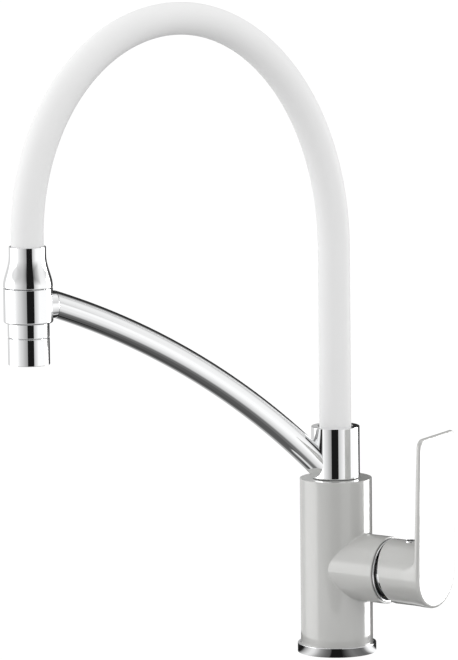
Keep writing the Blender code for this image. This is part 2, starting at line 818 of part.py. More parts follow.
def paddle_back(y):
    """The paddle is a little thicker at its foot than at its top."""
    return paddle_front(y) - PADDLE_THICKNESS + (y - PADDLE_TOP / 2) * math.tan(PADDLE_TAPER)


def neck_outline():
    """The neck grows a little in radius where it runs into the paddle's round foot."""
    start = lever_frame_height(NECK_FLARE_START)
    end = (paddle_back(0) + paddle_front(0)) / 2
    flare = PADDLE_FOOT_RADIUS - NECK_FOOT_INSET - NECK_RADIUS
    shares = [i / NECK_FLARE_STEPS for i in range(NECK_FLARE_STEPS, -1, -1)]
    return [(NECK_RADIUS + flare * share**3, start + (end - start) * share) for share in shares]


def handle(pivot, screw):
    """Hollow round neck that runs into the flat paddle, with a socket for the stem."""
    neck_foot = lever_frame_height(BOSS_REACH) - CUT_OVERRUN
    flare = neck_outline()
    outline = [(0, flare[0][1]), *flare, (NECK_RADIUS, neck_foot), (0, neck_foot)]
    lever = turned("handle", outline, WHITE_PAINT, pivot, LARGE_SIDES)
    form = plate("paddle_form", paddle_outline(), paddle_front, paddle_back)
    paddle = add_object("paddle_form", form, None, pivot)
    edge = paddle.modifiers.new("Edge", "BEVEL")
    edge.width = PADDLE_EDGE
    edge.segments = PADDLE_EDGE_STEPS
    edge.limit_method = "ANGLE"
    edge.angle_limit = ROUNDED_ANGLE
    combine(lever, paddle, "UNION")
    reach = BODY_RADIUS + BOSS_RADIUS
    rim = block("rim_cut", (-reach, -reach, -reach), (reach, reach, 0), parent=pivot)
    rim.location = (0, 0, lever_frame_height(NECK_RIM_REACH))
    rim.rotation_euler = (-NECK_RIM_TILT, 0, 0)
    combine(lever, rim)
    hollow = NECK_RADIUS - NECK_WALL
    ceiling = arc((0, 0), hollow, 90, 0, NECK_CAVITY_STEPS)[1:]
    cavity = [(0, hollow), *ceiling, (hollow, -hollow), (0, -hollow)]
    combine(lever, turned("neck_cavity", cavity, parent=pivot, sides=LARGE_SIDES))
    half = STEM_WIDTH / 2 + SEAT_GAP
    socket = block("stem_socket", (-half, -half, 0), (half, half, STEM_REACH + SEAT_GAP), parent=pivot)
    combine(lever, socket)
    plug_floor = NECK_RADIUS + PLUG_PROUD - PLUG_THICKNESS - SEAT_GAP
    combine(lever, rod("screw_hole", SCREW_RADIUS + SEAT_GAP, 0, NECK_RADIUS, parent=screw))
    top = NECK_RADIUS + CUT_OVERRUN
    combine(lever, rod("plug_seat", PLUG_RADIUS + SEAT_GAP, plug_floor, top, parent=screw))


def handle_fixing(screw):
    """The screw that clamps the stem, and the round plug over it."""
    foot = STEM_WIDTH / 2 + SEAT_GAP
    top = foot + SCREW_LENGTH
    grub = rod("handle_screw", SCREW_RADIUS, foot, top, STEEL, screw)
    low, high = top - SCREW_SOCKET_DEPTH, top + CUT_OVERRUN
    combine(grub, rod("screw_socket", SCREW_SOCKET_RADIUS, low, high, parent=screw, sides=HEX_SIDES))
    plug_top = NECK_RADIUS + PLUG_PROUD
    plug_foot = plug_top - PLUG_THICKNESS
    turned(
        "screw_plug",
        [
            (0, plug_top),
            (PLUG_RADIUS - PLUG_EDGE, plug_top),
            (PLUG_RADIUS, plug_top - PLUG_EDGE),
            (PLUG_RADIUS, plug_foot),
            (0, plug_foot),
        ],
        CHROME,
        screw,
    )


def swivel_spigot():
    """The fixed brass spigot: threaded foot, two seal grooves and a clip groove at the top."""
    groove = ORING_THICKNESS / 2 + ORING_GROOVE_SLACK
    clip_low, clip_high = clip_span()
    outline = [(SPIGOT_RADIUS, SPIGOT_TOP)]
    outline += notch(clip_high + SEAT_GAP, clip_low - SEAT_GAP, CLIP_DEPTH)
    for height in sorted(ORING_HEIGHTS.values(), reverse=True):
        middle = BODY_HEIGHT + height
        outline += notch(middle + groove, middle - groove, ORING_THICKNESS)
    outline += [
        (SPIGOT_RADIUS, BODY_HEIGHT - SEAT_GAP),
        (SPIGOT_THREAD_RADIUS, BODY_HEIGHT - SEAT_GAP),
        (SPIGOT_THREAD_RADIUS, BODY_HEIGHT - SPIGOT_BORE_DEPTH + SEAT_GAP),
        (SPIGOT_BORE_RADIUS, BODY_HEIGHT - SPIGOT_BORE_DEPTH + SEAT_GAP),
        (SPIGOT_BORE_RADIUS, SPIGOT_TOP),
    ]
    turned("swivel_spigot", outline, BRASS, sides=SMALL_SIDES)


def notch(high, low, depth):
    """Outline points of a groove in the spigot."""
    floor = SPIGOT_RADIUS - depth
    return [(SPIGOT_RADIUS, high), (floor, high), (floor, low), (SPIGOT_RADIUS, low)]


def clip_span():
    """The clip's lower and upper faces, just above the collar's shelf."""
    low = COLLAR_FOOT + COLLAR_SHELF + SEAT_GAP
    return low, low + CLIP_THICKNESS


def swivel_fittings():
    """Seals, thrust washer and spring clip of the swivel."""
    minor = ORING_THICKNESS / 2
    middle = SPIGOT_RADIUS - ORING_THICKNESS + ORING_GROOVE_SLACK + minor
    for name, height in ORING_HEIGHTS.items():
        section = arc((middle, BODY_HEIGHT + height), minor, 90, -270, NOZZLE_SIDES)[:-1]
        turned(name + "_spigot_seal", section, SEAL_RUBBER, sides=SMALL_SIDES)
    low = BODY_HEIGHT + SEAT_GAP
    high = low + WASHER_THICKNESS
    square_ring("thrust_washer", SPIGOT_RADIUS + 2 * SEAT_GAP, WASHER_RADIUS, low, high, WHITE_PLASTIC)
    low, high = clip_span()
    inner = SPIGOT_RADIUS - CLIP_DEPTH + SEAT_GAP
    clip = square_ring("spigot_clip", inner, inner + CLIP_WIDTH, low, high, STEEL)
    mouth = block(
        "clip_mouth",
        (0, -CLIP_MOUTH / 2, low - CUT_OVERRUN),
        (SLEEVE_RADIUS + CLIP_WIDTH, CLIP_MOUTH / 2, high + CUT_OVERRUN),
    )
    combine(clip, mouth)


def swivel_collar():
    bore = SPIGOT_RADIUS + SEAT_GAP
    pocket = SLEEVE_RADIUS + HOSE_POCKET_GAP
    recess = WASHER_RADIUS + SEAT_GAP
    recess_top = BODY_HEIGHT + SEAT_GAP + WASHER_THICKNESS + SEAT_GAP
    shelf = COLLAR_FOOT + COLLAR_SHELF
    turned(
        "swivel_collar",
        [
            (COLLAR_RADIUS - COLLAR_EDGE, COLLAR_TOP),
            (COLLAR_RADIUS, COLLAR_TOP - COLLAR_EDGE),
            (COLLAR_RADIUS, COLLAR_FOOT + COLLAR_EDGE),
            (COLLAR_RADIUS - COLLAR_EDGE, COLLAR_FOOT),
            (recess, COLLAR_FOOT),
            (recess, recess_top),
            (bore, recess_top),
            (bore, shelf),
            (pocket, shelf),
            (pocket, COLLAR_TOP),
        ],
        CHROME,
        sides=LARGE_SIDES,
    )


def nipple(name, flange_radius, flange_span, shank, tip, parent=None):
    """A brass hose nipple whose barb points up from its flange. The shank, where there is
    one, is a plain step between flange and barb as (radius, top)."""
    foot, top = flange_span
    radius = HOSE_CORE_RADIUS - HOSE_CORE_WALL - NIPPLE_GAP
    root = shank[1] if shank else top
    step = (tip - root) / (NIPPLE_BARB_COUNT + 1)
    outline = [(radius - NIPPLE_BARB_DEPTH, tip)]
    for index in range(NIPPLE_BARB_COUNT):
        high = tip - step * (index + 1)
        outline += [(radius, high), (radius - NIPPLE_BARB_DEPTH, high)]
    if shank:
        outline += [(radius - NIPPLE_BARB_DEPTH, root), shank, (shank[0], top)]
    else:
        outline += [(radius - NIPPLE_BARB_DEPTH, top)]
    outline += [(flange_radius, top), (flange_radius, foot)]
    outline += [(NIPPLE_BORE_RADIUS, foot), (NIPPLE_BORE_RADIUS, tip)]
    return turned(name, outline, BRASS, parent, SMALL_SIDES)


def hose_route(foot, head_end):
    """Upright from the collar, over in two quarters of ellipses, and down into the cone."""
    apex_x = -SPOUT_REACH * HOSE_APEX_REACH_SHARE
    apex_z = BODY_HEIGHT + HOSE_APEX
    rise_top = BODY_HEIGHT + HOSE_RISE_TOP
    fall_top = CONE_TOP + HOSE_ABOVE_CONE
    quarter = [math.pi / 2 * i / HOSE_QUARTER_STEPS for i in range(HOSE_QUARTER_STEPS + 1)]
    rise = [
        (apex_x - apex_x * math.cos(a), rise_top + (apex_z - rise_top) * math.sin(a)) for a in quarter
    ]
    fall = [
        (apex_x - (SPOUT_REACH + apex_x) * math.sin(a), fall_top + (apex_z - fall_top) * math.cos(a))
        for a in quarter
    ]
    return [(0, foot), *rise, *fall[1:], (-SPOUT_REACH, head_end)]


def spout_hose():
    route = hose_route(HOSE_FOOT, HOSE_HEAD_END)
    core_gap = SLEEVE_RADIUS - HOSE_CORE_RADIUS - SEAT_GAP
    tube("hose_sleeve", route, SLEEVE_RADIUS, core_gap, SILICONE)
    tube("hose_core", route, HOSE_CORE_RADIUS, HOSE_CORE_WALL, HOSE_RUBBER, resolution=2)


def arm_route():
    """A circular arc through two points, where it meets the body's and the holder's axes."""
    foot = Vector((0, BODY_HEIGHT - ARM_FOOT_DROP))
    tip = Vector((-SPOUT_REACH, RING_FOOT + ARM_TIP_RISE))
    chord = tip - foot
    drop = math.sqrt(ARM_BEND_RADIUS**2 - (chord.length / 2) ** 2)
    below = Vector((chord.y, -chord.x)).normalized()
    centre = (foot + tip) / 2 + below * (drop if below.y < 0 else -drop)
    first, last = foot - centre, tip - centre
    start, end = (math.degrees(math.atan2(v.y, v.x)) for v in (first, last))
    return arc(centre, ARM_BEND_RADIUS, start, end, ARM_STEPS)


def lug_end():
    """X of the flat face on which the arm ends."""
    return -SPOUT_REACH + RING_RADIUS + LUG_REACH


def arm_height(x):
    """Height of the arm's centreline at a distance along X."""
    route = arm_route()
    for (x0, z0), (x1, z1) in zip(route, route[1:]):
        if x1 <= x <= x0:
            return z0 + (z1 - z0) * (x - x0) / (x1 - x0)
    return route[-1][1]


def holder_arm():
    arm = tube("holder_arm", arm_route(), ARM_RADIUS, ARM_WALL, CHROME, resolution=6)
    round_end = rod(
        "collar_clearance",
        COLLAR_RADIUS + SEAT_GAP,
        0,
        COLLAR_TOP + COLLAR_RADIUS,
        sides=LARGE_SIDES,
    )
    combine(arm, round_end)
    face = lug_end() + SEAT_GAP
    past = BODY_RADIUS
    flat_end = block(
        "lug_clearance",
        (-SPOUT_REACH - past, -past, RING_FOOT - past),
        (face, past, RING_TOP + past),
    )
    combine(arm, flat_end)


def holder_ring():
    """The ring that holds the head, with a tapered lug for the arm and a lip for its liner."""
    bore = RING_RADIUS - RING_WALL
    lip = BARREL_RADIUS + RING_LIP_GAP
    lip_top = RING_FOOT + RING_LIP_THICKNESS
    centre = (RING_RADIUS - RING_FOOT_ROUND, RING_FOOT + RING_FOOT_ROUND)
    ring = turned(
        "holder_ring",
        [
            (RING_RADIUS - RING_EDGE, RING_TOP),
            (RING_RADIUS, RING_TOP - RING_EDGE),
            *arc(centre, RING_FOOT_ROUND, 0, -90, RING_FOOT_STEPS),
            (lip, RING_FOOT),
            (lip, lip_top),
            (bore, lip_top),
            (bore, RING_TOP),
        ],
        CHROME,
        sides=LARGE_SIDES,
        at=(-SPOUT_REACH, 0),
    )
    lug = rod(
        "lug_form",
        LUG_ROOT_RADIUS,
        RING_RADIUS - LUG_REACH - RING_WALL,
        RING_RADIUS + LUG_REACH,
        sides=MEDIUM_SIDES,
        end_radius=LUG_RADIUS,
    )
    lug.location = (-SPOUT_REACH, 0, arm_height(lug_end()))
    lug.rotation_euler = (0, math.pi / 2, 0)
    combine(ring, lug, "UNION")
    low, high = RING_FOOT - CUT_OVERRUN, RING_TOP + CUT_OVERRUN
    for name, radius, floor in (("ring_bore", bore, lip_top), ("lip_bore", lip, low)):
        cut = rod(name, radius, floor, high, at=(-SPOUT_REACH, 0), sides=LARGE_SIDES)
        combine(ring, cut)
    square_ring(
        "ring_liner",
        bore - SEAT_GAP - LINER_THICKNESS,
        bore - SEAT_GAP,
        lip_top + SEAT_GAP,
        RING_TOP - SEAT_GAP,
        GREY_PLASTIC,
        at=(-SPOUT_REACH, 0),
    )


def cone_bell():
    """The cone's outer side from its mouth down to the skirt, an eased curve."""
    top, foot = CONE_FOOT + CONE_BELL_TOP, CONE_FOOT + CONE_SKIRT
    points = []
    for index in range(CONE_BELL_STEPS + 1):
        share = index / CONE_BELL_STEPS
        ease = share**CONE_BELL_POWER
        ease = ease * ease * (3 - 2 * ease)
        radius = CONE_MOUTH_RADIUS + (CONE_RADIUS - CONE_MOUTH_RADIUS) * ease
        points.append((radius, top + (foot - top) * share))
    return points


def hose_cone(head):
    pocket_foot = CONE_TOP - CONE_POCKET_DEPTH
    shelf_foot = pocket_foot - CONE_SHELF_THICKNESS
    pocket = SLEEVE_RADIUS + HOSE_POCKET_GAP
    thread = BARREL_THREAD_RADIUS + SEAT_GAP
    turned(
        "hose_cone",
        [
            (CONE_MOUTH_RADIUS - CONE_MOUTH_EDGE, CONE_TOP),
            (CONE_MOUTH_RADIUS, CONE_TOP - CONE_MOUTH_EDGE),
            *cone_bell(),
            (CONE_RADIUS, CONE_FOOT + RING_EDGE),
            (CONE_RADIUS - RING_EDGE, CONE_FOOT),
            (thread, CONE_FOOT),
            (thread, shelf_foot),
            (CONE_SHELF_RADIUS, shelf_foot),
            (CONE_SHELF_RADIUS, pocket_foot),
            (pocket, pocket_foot),
            (pocket, CONE_TOP),
        ],
        CHROME,
        head,
        LARGE_SIDES,
    )
    thread_top = BARREL_TOP + BARREL_THREAD_LENGTH
    nipple(
        "head_nipple",
        BARREL_THREAD_RADIUS,
        (thread_top + SEAT_GAP, shelf_foot - SEAT_GAP),
        (CONE_SHELF_RADIUS - SEAT_GAP, pocket_foot),
        pocket_foot + NIPPLE_BARB_LENGTH,
        head,
    )


def head_barrel(head):
    """The grip tube: thread into the cone above, stem for the outlet sleeve below."""
    thread_top = BARREL_TOP + BARREL_THREAD_LENGTH
    stem_foot = BARREL_FOOT - SLEEVE_STEM_LENGTH
    seal = sleeve_seal_height()
    half = ORING_THICKNESS / 2 + ORING_GROOVE_SLACK
    floor = SLEEVE_STEM_RADIUS - ORING_THICKNESS
    turned(
        "head_barrel",
        [
            (BARREL_THREAD_RADIUS, thread_top),
            (BARREL_THREAD_RADIUS, BARREL_TOP),
            (BARREL_RADIUS, BARREL_TOP),
            (BARREL_RADIUS, BARREL_FOOT + BARREL_EDGE),
            (BARREL_RADIUS - BARREL_EDGE, BARREL_FOOT),
            (SLEEVE_STEM_RADIUS, BARREL_FOOT),
            (SLEEVE_STEM_RADIUS, seal + half),
            (floor, seal + half),
            (floor, seal - half),
            (SLEEVE_STEM_RADIUS, seal - half),
            (SLEEVE_STEM_RADIUS, stem_foot),
            (BARREL_BORE_RADIUS, stem_foot),
            (BARREL_BORE_RADIUS, thread_top),
        ],
        CHROME,
        head,
        LARGE_SIDES,
    )
    minor = ORING_THICKNESS / 2
    section = arc((floor + ORING_GROOVE_SLACK + minor, seal), minor, 90, -270, NOZZLE_SIDES)[:-1]
    turned("sleeve_seal", section, SEAL_RUBBER, head)


def sleeve_seal_height():
    return BARREL_FOOT - SLEEVE_STEM_LENGTH / 2


def outlet(head):
    """The turning sleeve, its spray face with a ring of nozzles, and the aerator."""
    stem_bore = SLEEVE_STEM_RADIUS + SEAT_GAP
    chamber = BARREL_RADIUS - OUTLET_WALL
    step = OUTLET_FOOT + FACE_CHAMBER
    turned(
        "outlet_sleeve",
        [
            (BARREL_RADIUS - OUTLET_EDGE, OUTLET_TOP),
            (BARREL_RADIUS, OUTLET_TOP - OUTLET_EDGE),
            (BARREL_RADIUS, OUTLET_FOOT + OUTLET_EDGE),
            (BARREL_RADIUS - OUTLET_EDGE, OUTLET_FOOT),
            (chamber, OUTLET_FOOT),
            (chamber, step),
            (stem_bore, step),
            (stem_bore, OUTLET_TOP),
        ],
        CHROME,
        head,
        LARGE_SIDES,
    )
    foot = OUTLET_FOOT + OUTLET_FACE_DEPTH
    top = foot + FACE_THICKNESS
    inner, outer = AERATOR_RADIUS + SEAT_GAP, chamber - SEAT_GAP
    face = square_ring("spray_face", inner, outer, foot, top, GREY_PLASTIC, head)
    pierce(face, NOZZLE_CIRCLES, NOZZLE_RADIUS, (foot, top), head)
    high = foot + AERATOR_HEIGHT
    aerator = rod("aerator", AERATOR_RADIUS, foot, high, STEEL, head, sides=MEDIUM_SIDES)
    pierce(aerator, AERATOR_CIRCLES, AERATOR_HOLE_RADIUS, (foot, high), head)


def pierce(obj, circles, radius, span, parent):
    """Cuts circles of through holes with one cutter. Each circle is a count and a radius."""
    low, high = span[0] - CUT_OVERRUN, span[1] + CUT_OVERRUN
    pins = bmesh.new()
    for count, circle in circles:
        for index in range(count):
            angle = 2 * math.pi * (index + HOLE_START_SHARE) / count
            place = Vector((circle * math.cos(angle), circle * math.sin(angle), (low + high) / 2))
            bmesh.ops.create_cone(
                pins,
                cap_ends=True,
                segments=NOZZLE_SIDES,
                radius1=radius,
                radius2=radius,
                depth=high - low,
                matrix=Matrix.Translation(place),
            )
    mesh = bpy.data.meshes.new(obj.name + "_holes")
    pins.to_mesh(mesh)
    pins.free()
    combine(obj, add_object(obj.name + "_holes", mesh, None, parent))


def lever_frame_height(reach):
    """A distance from the body axis, as a height above the lever's pivot."""
    return reach - PIVOT_REACH


def main():
    clear_file()
    side = frame("side_frame", rotation=(0, 0, HANDLE_ANGLE))
    boss = frame("boss_frame", (0, 0, BOSS_HEIGHT), (math.pi / 2, 0, HANDLE_ANGLE + math.pi / 2))
    pivot = frame("pivot_frame", (0, 0, PIVOT_REACH), parent=boss)
    screw = frame("screw_frame", (0, 0, lever_frame_height(SCREW_REACH)), (-math.pi / 2, 0, 0), pivot)
    head = frame("head_frame", (-SPOUT_REACH, 0, 0))
    body_casting(side, boss)
    base_trim()
    valve_base(boss)
    port_seals(boss)
    moving_disc(boss)
    cartridge_housing(boss)
    cartridge_carrier(boss, pivot)
    cartridge_nut(boss)
    cartridge_cover(pivot)
    lever_stem(pivot)
    handle(pivot, screw)
    handle_fixing(screw)
    swivel_spigot()
    swivel_fittings()
    swivel_collar()
    spout_hose()
    nipple(
        "collar_nipple",
        SLEEVE_RADIUS,
        (SPIGOT_TOP + SEAT_GAP, HOSE_FOOT - SEAT_GAP),
        None,
        HOSE_FOOT + NIPPLE_BARB_LENGTH,
    )
    holder_arm()
    holder_ring()
    hose_cone(head)
    head_barrel(head)
    outlet(head)
    bpy.context.view_layer.update()


main()
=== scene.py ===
"""Dressed model of a kitchen faucet with a flexible hose spout and a side lever.

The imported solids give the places. The pieces that show are made again here as fine, smooth
meshes of the same size, and every piece gets its finish. Lengths are in metres.
"""

import logging
import math
from collections.abc import Iterable, Mapping, Sequence
from dataclasses import dataclass, field, replace
from enum import Enum

import bmesh
import bpy
from bpy.types import Mesh, Node, NodeSocket, Object
from mathutils import Matrix, Vector


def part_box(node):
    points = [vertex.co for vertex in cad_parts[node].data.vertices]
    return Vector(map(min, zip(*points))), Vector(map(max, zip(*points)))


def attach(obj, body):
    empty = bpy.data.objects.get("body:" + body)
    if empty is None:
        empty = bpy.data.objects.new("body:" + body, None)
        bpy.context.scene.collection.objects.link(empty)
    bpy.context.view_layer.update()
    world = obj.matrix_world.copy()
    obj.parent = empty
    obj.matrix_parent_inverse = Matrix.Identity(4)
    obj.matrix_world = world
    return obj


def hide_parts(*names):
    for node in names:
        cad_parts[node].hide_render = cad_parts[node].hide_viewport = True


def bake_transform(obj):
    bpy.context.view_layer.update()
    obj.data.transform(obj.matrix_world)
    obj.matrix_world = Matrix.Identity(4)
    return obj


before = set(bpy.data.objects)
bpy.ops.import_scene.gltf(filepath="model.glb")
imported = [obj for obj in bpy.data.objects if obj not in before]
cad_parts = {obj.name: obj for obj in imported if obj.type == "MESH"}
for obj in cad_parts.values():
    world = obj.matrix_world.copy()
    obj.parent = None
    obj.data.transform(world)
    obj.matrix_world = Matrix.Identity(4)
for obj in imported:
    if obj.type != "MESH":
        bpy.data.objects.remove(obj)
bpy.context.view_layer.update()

LOG = logging.getLogger("faucet")

SHARP_ANGLE = math.radians(32)
WELD = 0.000001
OVERRUN = 0.002
SEAT_GAP = 0.0003
LATHE_SIDES = 128
SMALL_LATHE_SIDES = 48
FILLET_STEPS = 6
SUPPORT = 0.00012
HOSE_SKIN = "hose_skin"
# Attribute for unpainted casting in hollows, which the lacquer paints near-black as painted shade
CASTING_SHADE = "shaded_bare_casting"

BOSS_ANGLE = math.radians(-62)
BOSS_HEIGHT = 0.0610
BOSS_DIRECTION = Vector((math.cos(BOSS_ANGLE), math.sin(BOSS_ANGLE), 0))
PIVOT_REACH = 0.0420

Point2 = tuple[float, float]
Triple = tuple[float, float, float]
Rounds = tuple[float, float, float, float]
Rings = list[list[Vector]]


class Body(Enum):
    """The rigid bodies that pieces ride on."""

    FIXED = "faucet_body"
    LEVER = "lever"
    SPOUT = "spout"
    HEAD = "spray_head"
    OUTLET = "outlet"


class Slot(Enum):
    """The record's material slots."""

    PAINT = "white_paint"
    CHROME = "chrome"
    SILICONE = "silicone"
    HOSE = "hose_rubber"
    SEAL = "seal_rubber"
    BRASS = "brass"
    STEEL = "steel"
    GREY_PLASTIC = "grey_plastic"
    WHITE_PLASTIC = "white_plastic"
    CERAMIC = "ceramic"


class Cut(Enum):
    """What a tool does to a piece."""

    REMOVE = "DIFFERENCE"
    JOIN = "UNION"


class Value:
    """A number or vector inside a shader, on which Python's operators add Math nodes."""

    def __init__(self, shading: "Shading", socket: NodeSocket) -> None:
        """Wraps an output socket of a builder's tree."""
        self.shading = shading
        self.socket = socket

    def _maths(self, operation: str, *terms: "Value | float", clamp: bool = False) -> "Value":
        """Adds one Math node over the terms, in their order."""
        values = {index: term for index, term in enumerate(terms)}
        settings = {"operation": operation, "use_clamp": clamp}
        return Value(self.shading, self.shading.node("ShaderNodeMath", values, settings).outputs[0])

    def __add__(self, other: "Value | float") -> "Value":
        """Sum."""
        return self._maths("ADD", self, other)

    __radd__ = __add__

    def __sub__(self, other: "Value | float") -> "Value":
        """Difference."""
        return self._maths("SUBTRACT", self, other)

    def __rsub__(self, other: float) -> "Value":
        """Difference from a number."""
        return self._maths("SUBTRACT", other, self)

    def __mul__(self, other: "Value | float") -> "Value":
        """Product."""
        return self._maths("MULTIPLY", self, other)

    __rmul__ = __mul__

    def __truediv__(self, other: "Value | float") -> "Value":
        """Quotient."""
        return self._maths("DIVIDE", self, other)

    def __rtruediv__(self, other: float) -> "Value":
        """A number divided by the value."""
        return self._maths("DIVIDE", other, self)

    def __lt__(self, other: float) -> "Value":
        """1 where the value is below a number, else 0."""
        return self._maths("LESS_THAN", self, other)

    def __abs__(self) -> "Value":
        """Absolute value."""
        return self._maths("ABSOLUTE", self)

    def clamped(self) -> "Value":
        """The value kept between 0 and 1."""
        return self._maths("ADD", self, 0.0, clamp=True)

    def fract(self) -> "Value":
        """The part after the decimal point."""
        return self._maths("FRACT", self)

    def bump_at(self, centre: float, width: float) -> "Value":
        """1 at a centre, falling in a straight line to 0 at a width on each side."""
        return (1.0 - abs(self - centre) / width).clamped()

    def arc_tangent(self, other: "Value") -> "Value":
        """Angle of the pair (self, other), with self as the rise."""
        return self._maths("ARCTAN2", self, other)

    def about(self, middle: float, spread: float) -> "Value":
        """Noise turned into a value that spreads evenly about a middle."""
        return self * spread + (middle - spread / 2)


Varied = dict[str, Value | NodeSocket]


class Nodes:
    """Adds nodes to one tree."""

    def __init__(self, tree: bpy.types.NodeTree) -> None:
        """Takes an empty node tree."""
        self.tree = tree

    def node(
        self,
        kind: str,
        values: Mapping[object, object] | None = None,
        settings: Mapping[str, object] | None = None,
    ) -> Node:
        """Adds one node.

        Args:
            kind: The node's type.
            values: Numbers, vectors or links, by socket name or place.
            settings: Properties, set before the sockets.

        Returns:
            The new node.
        """
        made = self.tree.nodes.new(kind)
        for name, setting in (settings or {}).items():
            setattr(made, name, setting)
        for key, value in (values or {}).items():
            source = value.socket if isinstance(value, Value) else value
            if isinstance(source, NodeSocket):
                self.tree.links.new(source, made.inputs[key])
            else:
                made.inputs[key].default_value = source
        return made


class Shading(Nodes):
    """Builds the nodes of one material or world."""

    @classmethod
    def of(cls, owner: bpy.types.Material | bpy.types.World) -> "Shading":
        """Empties the node tree of a material or world, and builds in it."""
        owner.use_nodes = True
        owner.node_tree.nodes.clear()
        return cls(owner.node_tree)

    def ramp(self, place: Value, stops: Sequence[Point2]) -> Value:
        """A grey level that runs through a ramp's stops.

        Args:
            place: Where on the ramp it is read.
            stops: Place and level of each stop.

        Returns:
            The level.
        """
        made = self.node("ShaderNodeValToRGB", {0: place})
        elements = made.color_ramp.elements
        while len(elements) > 1:
            elements.remove(elements[-1])
        for index, (at, level) in enumerate(stops):
            element = elements[0] if index == 0 else elements.new(at)
            element.position = at
            element.color = (level, level, level, 1)
        return Value(self, made.outputs[0])

    def mixed(self, share: object, first: Node, second: Node) -> Node:
        """Two shaders mixed, with the second one's share."""
        return self.node("ShaderNodeMixShader", {0: share, 1: first.outputs[0], 2: second.outputs[0]})

    def glow(self, colour: object, strength: float = 1.0) -> Node:
        """A shader that gives off light."""
        return self.node("ShaderNodeEmission", {"Color": colour, "Strength": strength})

    def attribute(self, name: str) -> Node:
        """Reads an attribute of the mesh."""
        return self.node("ShaderNodeAttribute", settings={"attribute_name": name})

    def dot(self, vector: NodeSocket, direction: Sequence[float]) -> Value:
        """How far a vector reaches along a direction."""
        made = self.node("ShaderNodeVectorMath", {0: vector, 1: direction}, {"operation": "DOT_PRODUCT"})
        return Value(self, made.outputs["Value"])

    def object_place(self) -> NodeSocket:
        """The shaded point in the piece's own coordinates."""
        return self.node("ShaderNodeTexCoord").outputs["Object"]

    def split(self, vector: NodeSocket) -> tuple[Value, Value, Value]:
        """The three parts of a vector."""
        parts = self.node("ShaderNodeSeparateXYZ", {0: vector})
        return tuple(Value(self, socket) for socket in parts.outputs)

    def noise(
        self, place: NodeSocket, size: float, detail: float = 2.0, roughness: float = 0.5
    ) -> Value:
        """Smooth noise around 0.5, by its blotches' width and the number and strength of finer layers."""
        values = {"Vector": place, "Scale": 1 / size, "Detail": detail, "Roughness": roughness}
        return Value(self, self.node("ShaderNodeTexNoise", values).outputs[0])

    def tint(self, amount: Value, first: Value | Triple, second: Triple) -> Value:
        """A colour between two colours.

        Args:
            amount: Share of the second.
            first: The colour at 0.
            second: The colour at 1.

        Returns:
            The colour.
        """
        start, end = (colour if isinstance(colour, Value) else (*colour, 1) for colour in (first, second))
        mix = self.node("ShaderNodeMix", {0: amount, 6: start, 7: end}, {"data_type": "RGBA"})
        return Value(self, mix.outputs[2])

    def bump(self, height: Value, strength: float, distance: float) -> NodeSocket:
        """A normal roughened by a height."""
        values = {"Height": height, "Strength": strength, "Distance": distance}
        return self.node("ShaderNodeBump", values).outputs["Normal"]


@dataclass(frozen=True)
class Finish:
    """What all finishes share."""

    slot: Slot

    def material(self) -> bpy.types.Material:
        """The finish's material, made once.

        Returns:
            A material with this finish's nodes.
        """
        name = self.label()
        found = bpy.data.materials.get(name)
        if found:
            return found
        made = bpy.data.materials.new(name)
        shading = Shading.of(made)
        values = {**self.constants(), **self.varied(shading)}
        shader = shading.node("ShaderNodeBsdfPrincipled", values)
        output = shading.node("ShaderNodeOutputMaterial", {"Surface": shader.outputs[0]})
        output.is_active_output = True
        return made

    def label(self) -> str:
        """The name of the finish's material."""
        return f"{self.slot.value}_finish"

    def constants(self) -> dict[str, object]:
        """Values that are the same all over the surface."""
        return {}

    def varied(self, shading: Shading) -> Varied:
        """Values that change over the surface, by the shader's socket."""
        raise NotImplementedError


@dataclass(frozen=True)
class GlossLacquer(Finish):
    """White lacquer with a faint orange peel, rubbed a little duller in places; where the casting is
    unpainted inside hollows it turns near-black, which is painted shade.
    """

    slot: Slot = Slot.PAINT
    colour: Triple = (0.515, 0.515, 0.502)
    shaded: Triple = (0.497, 0.497, 0.484)
    # Unpainted casting in hollows, near-black: painted shade, darker than the metal
    casting: Triple = (0.030, 0.030, 0.030)
    roughness: float = 0.30
    rub: float = 0.10
    rub_size: float = 0.018
    peel_size: float = 0.0011
    peel_height: float = 0.000012
    peel_strength: float = 0.25

    def constants(self) -> dict[str, object]:
        """Lacquer coat over the paint."""
        return {"Coat Roughness": 0.02, "IOR": 1.45}

    def varied(self, shading: Shading) -> Varied:
        """Tone, dullness, orange peel, and painted shade on the unpainted casting in hollows."""
        place = shading.object_place()
        blotch = shading.noise(place, self.rub_size, detail=3)
        peel = shading.noise(place, self.peel_size, detail=1)
        # Where the casting is unpainted the paint goes near-black and loses its coat: painted shade
        casting_shade_mask = Value(shading, shading.attribute(CASTING_SHADE).outputs["Fac"])
        paint = shading.tint(blotch, self.shaded, self.colour)
        return {
            "Base Color": shading.tint(casting_shade_mask, paint, self.casting),
            "Coat Weight": 1 - casting_shade_mask,
            "Roughness": blotch.about(self.roughness, self.rub),
            "Normal": shading.bump(peel, self.peel_strength, self.peel_height),
        }


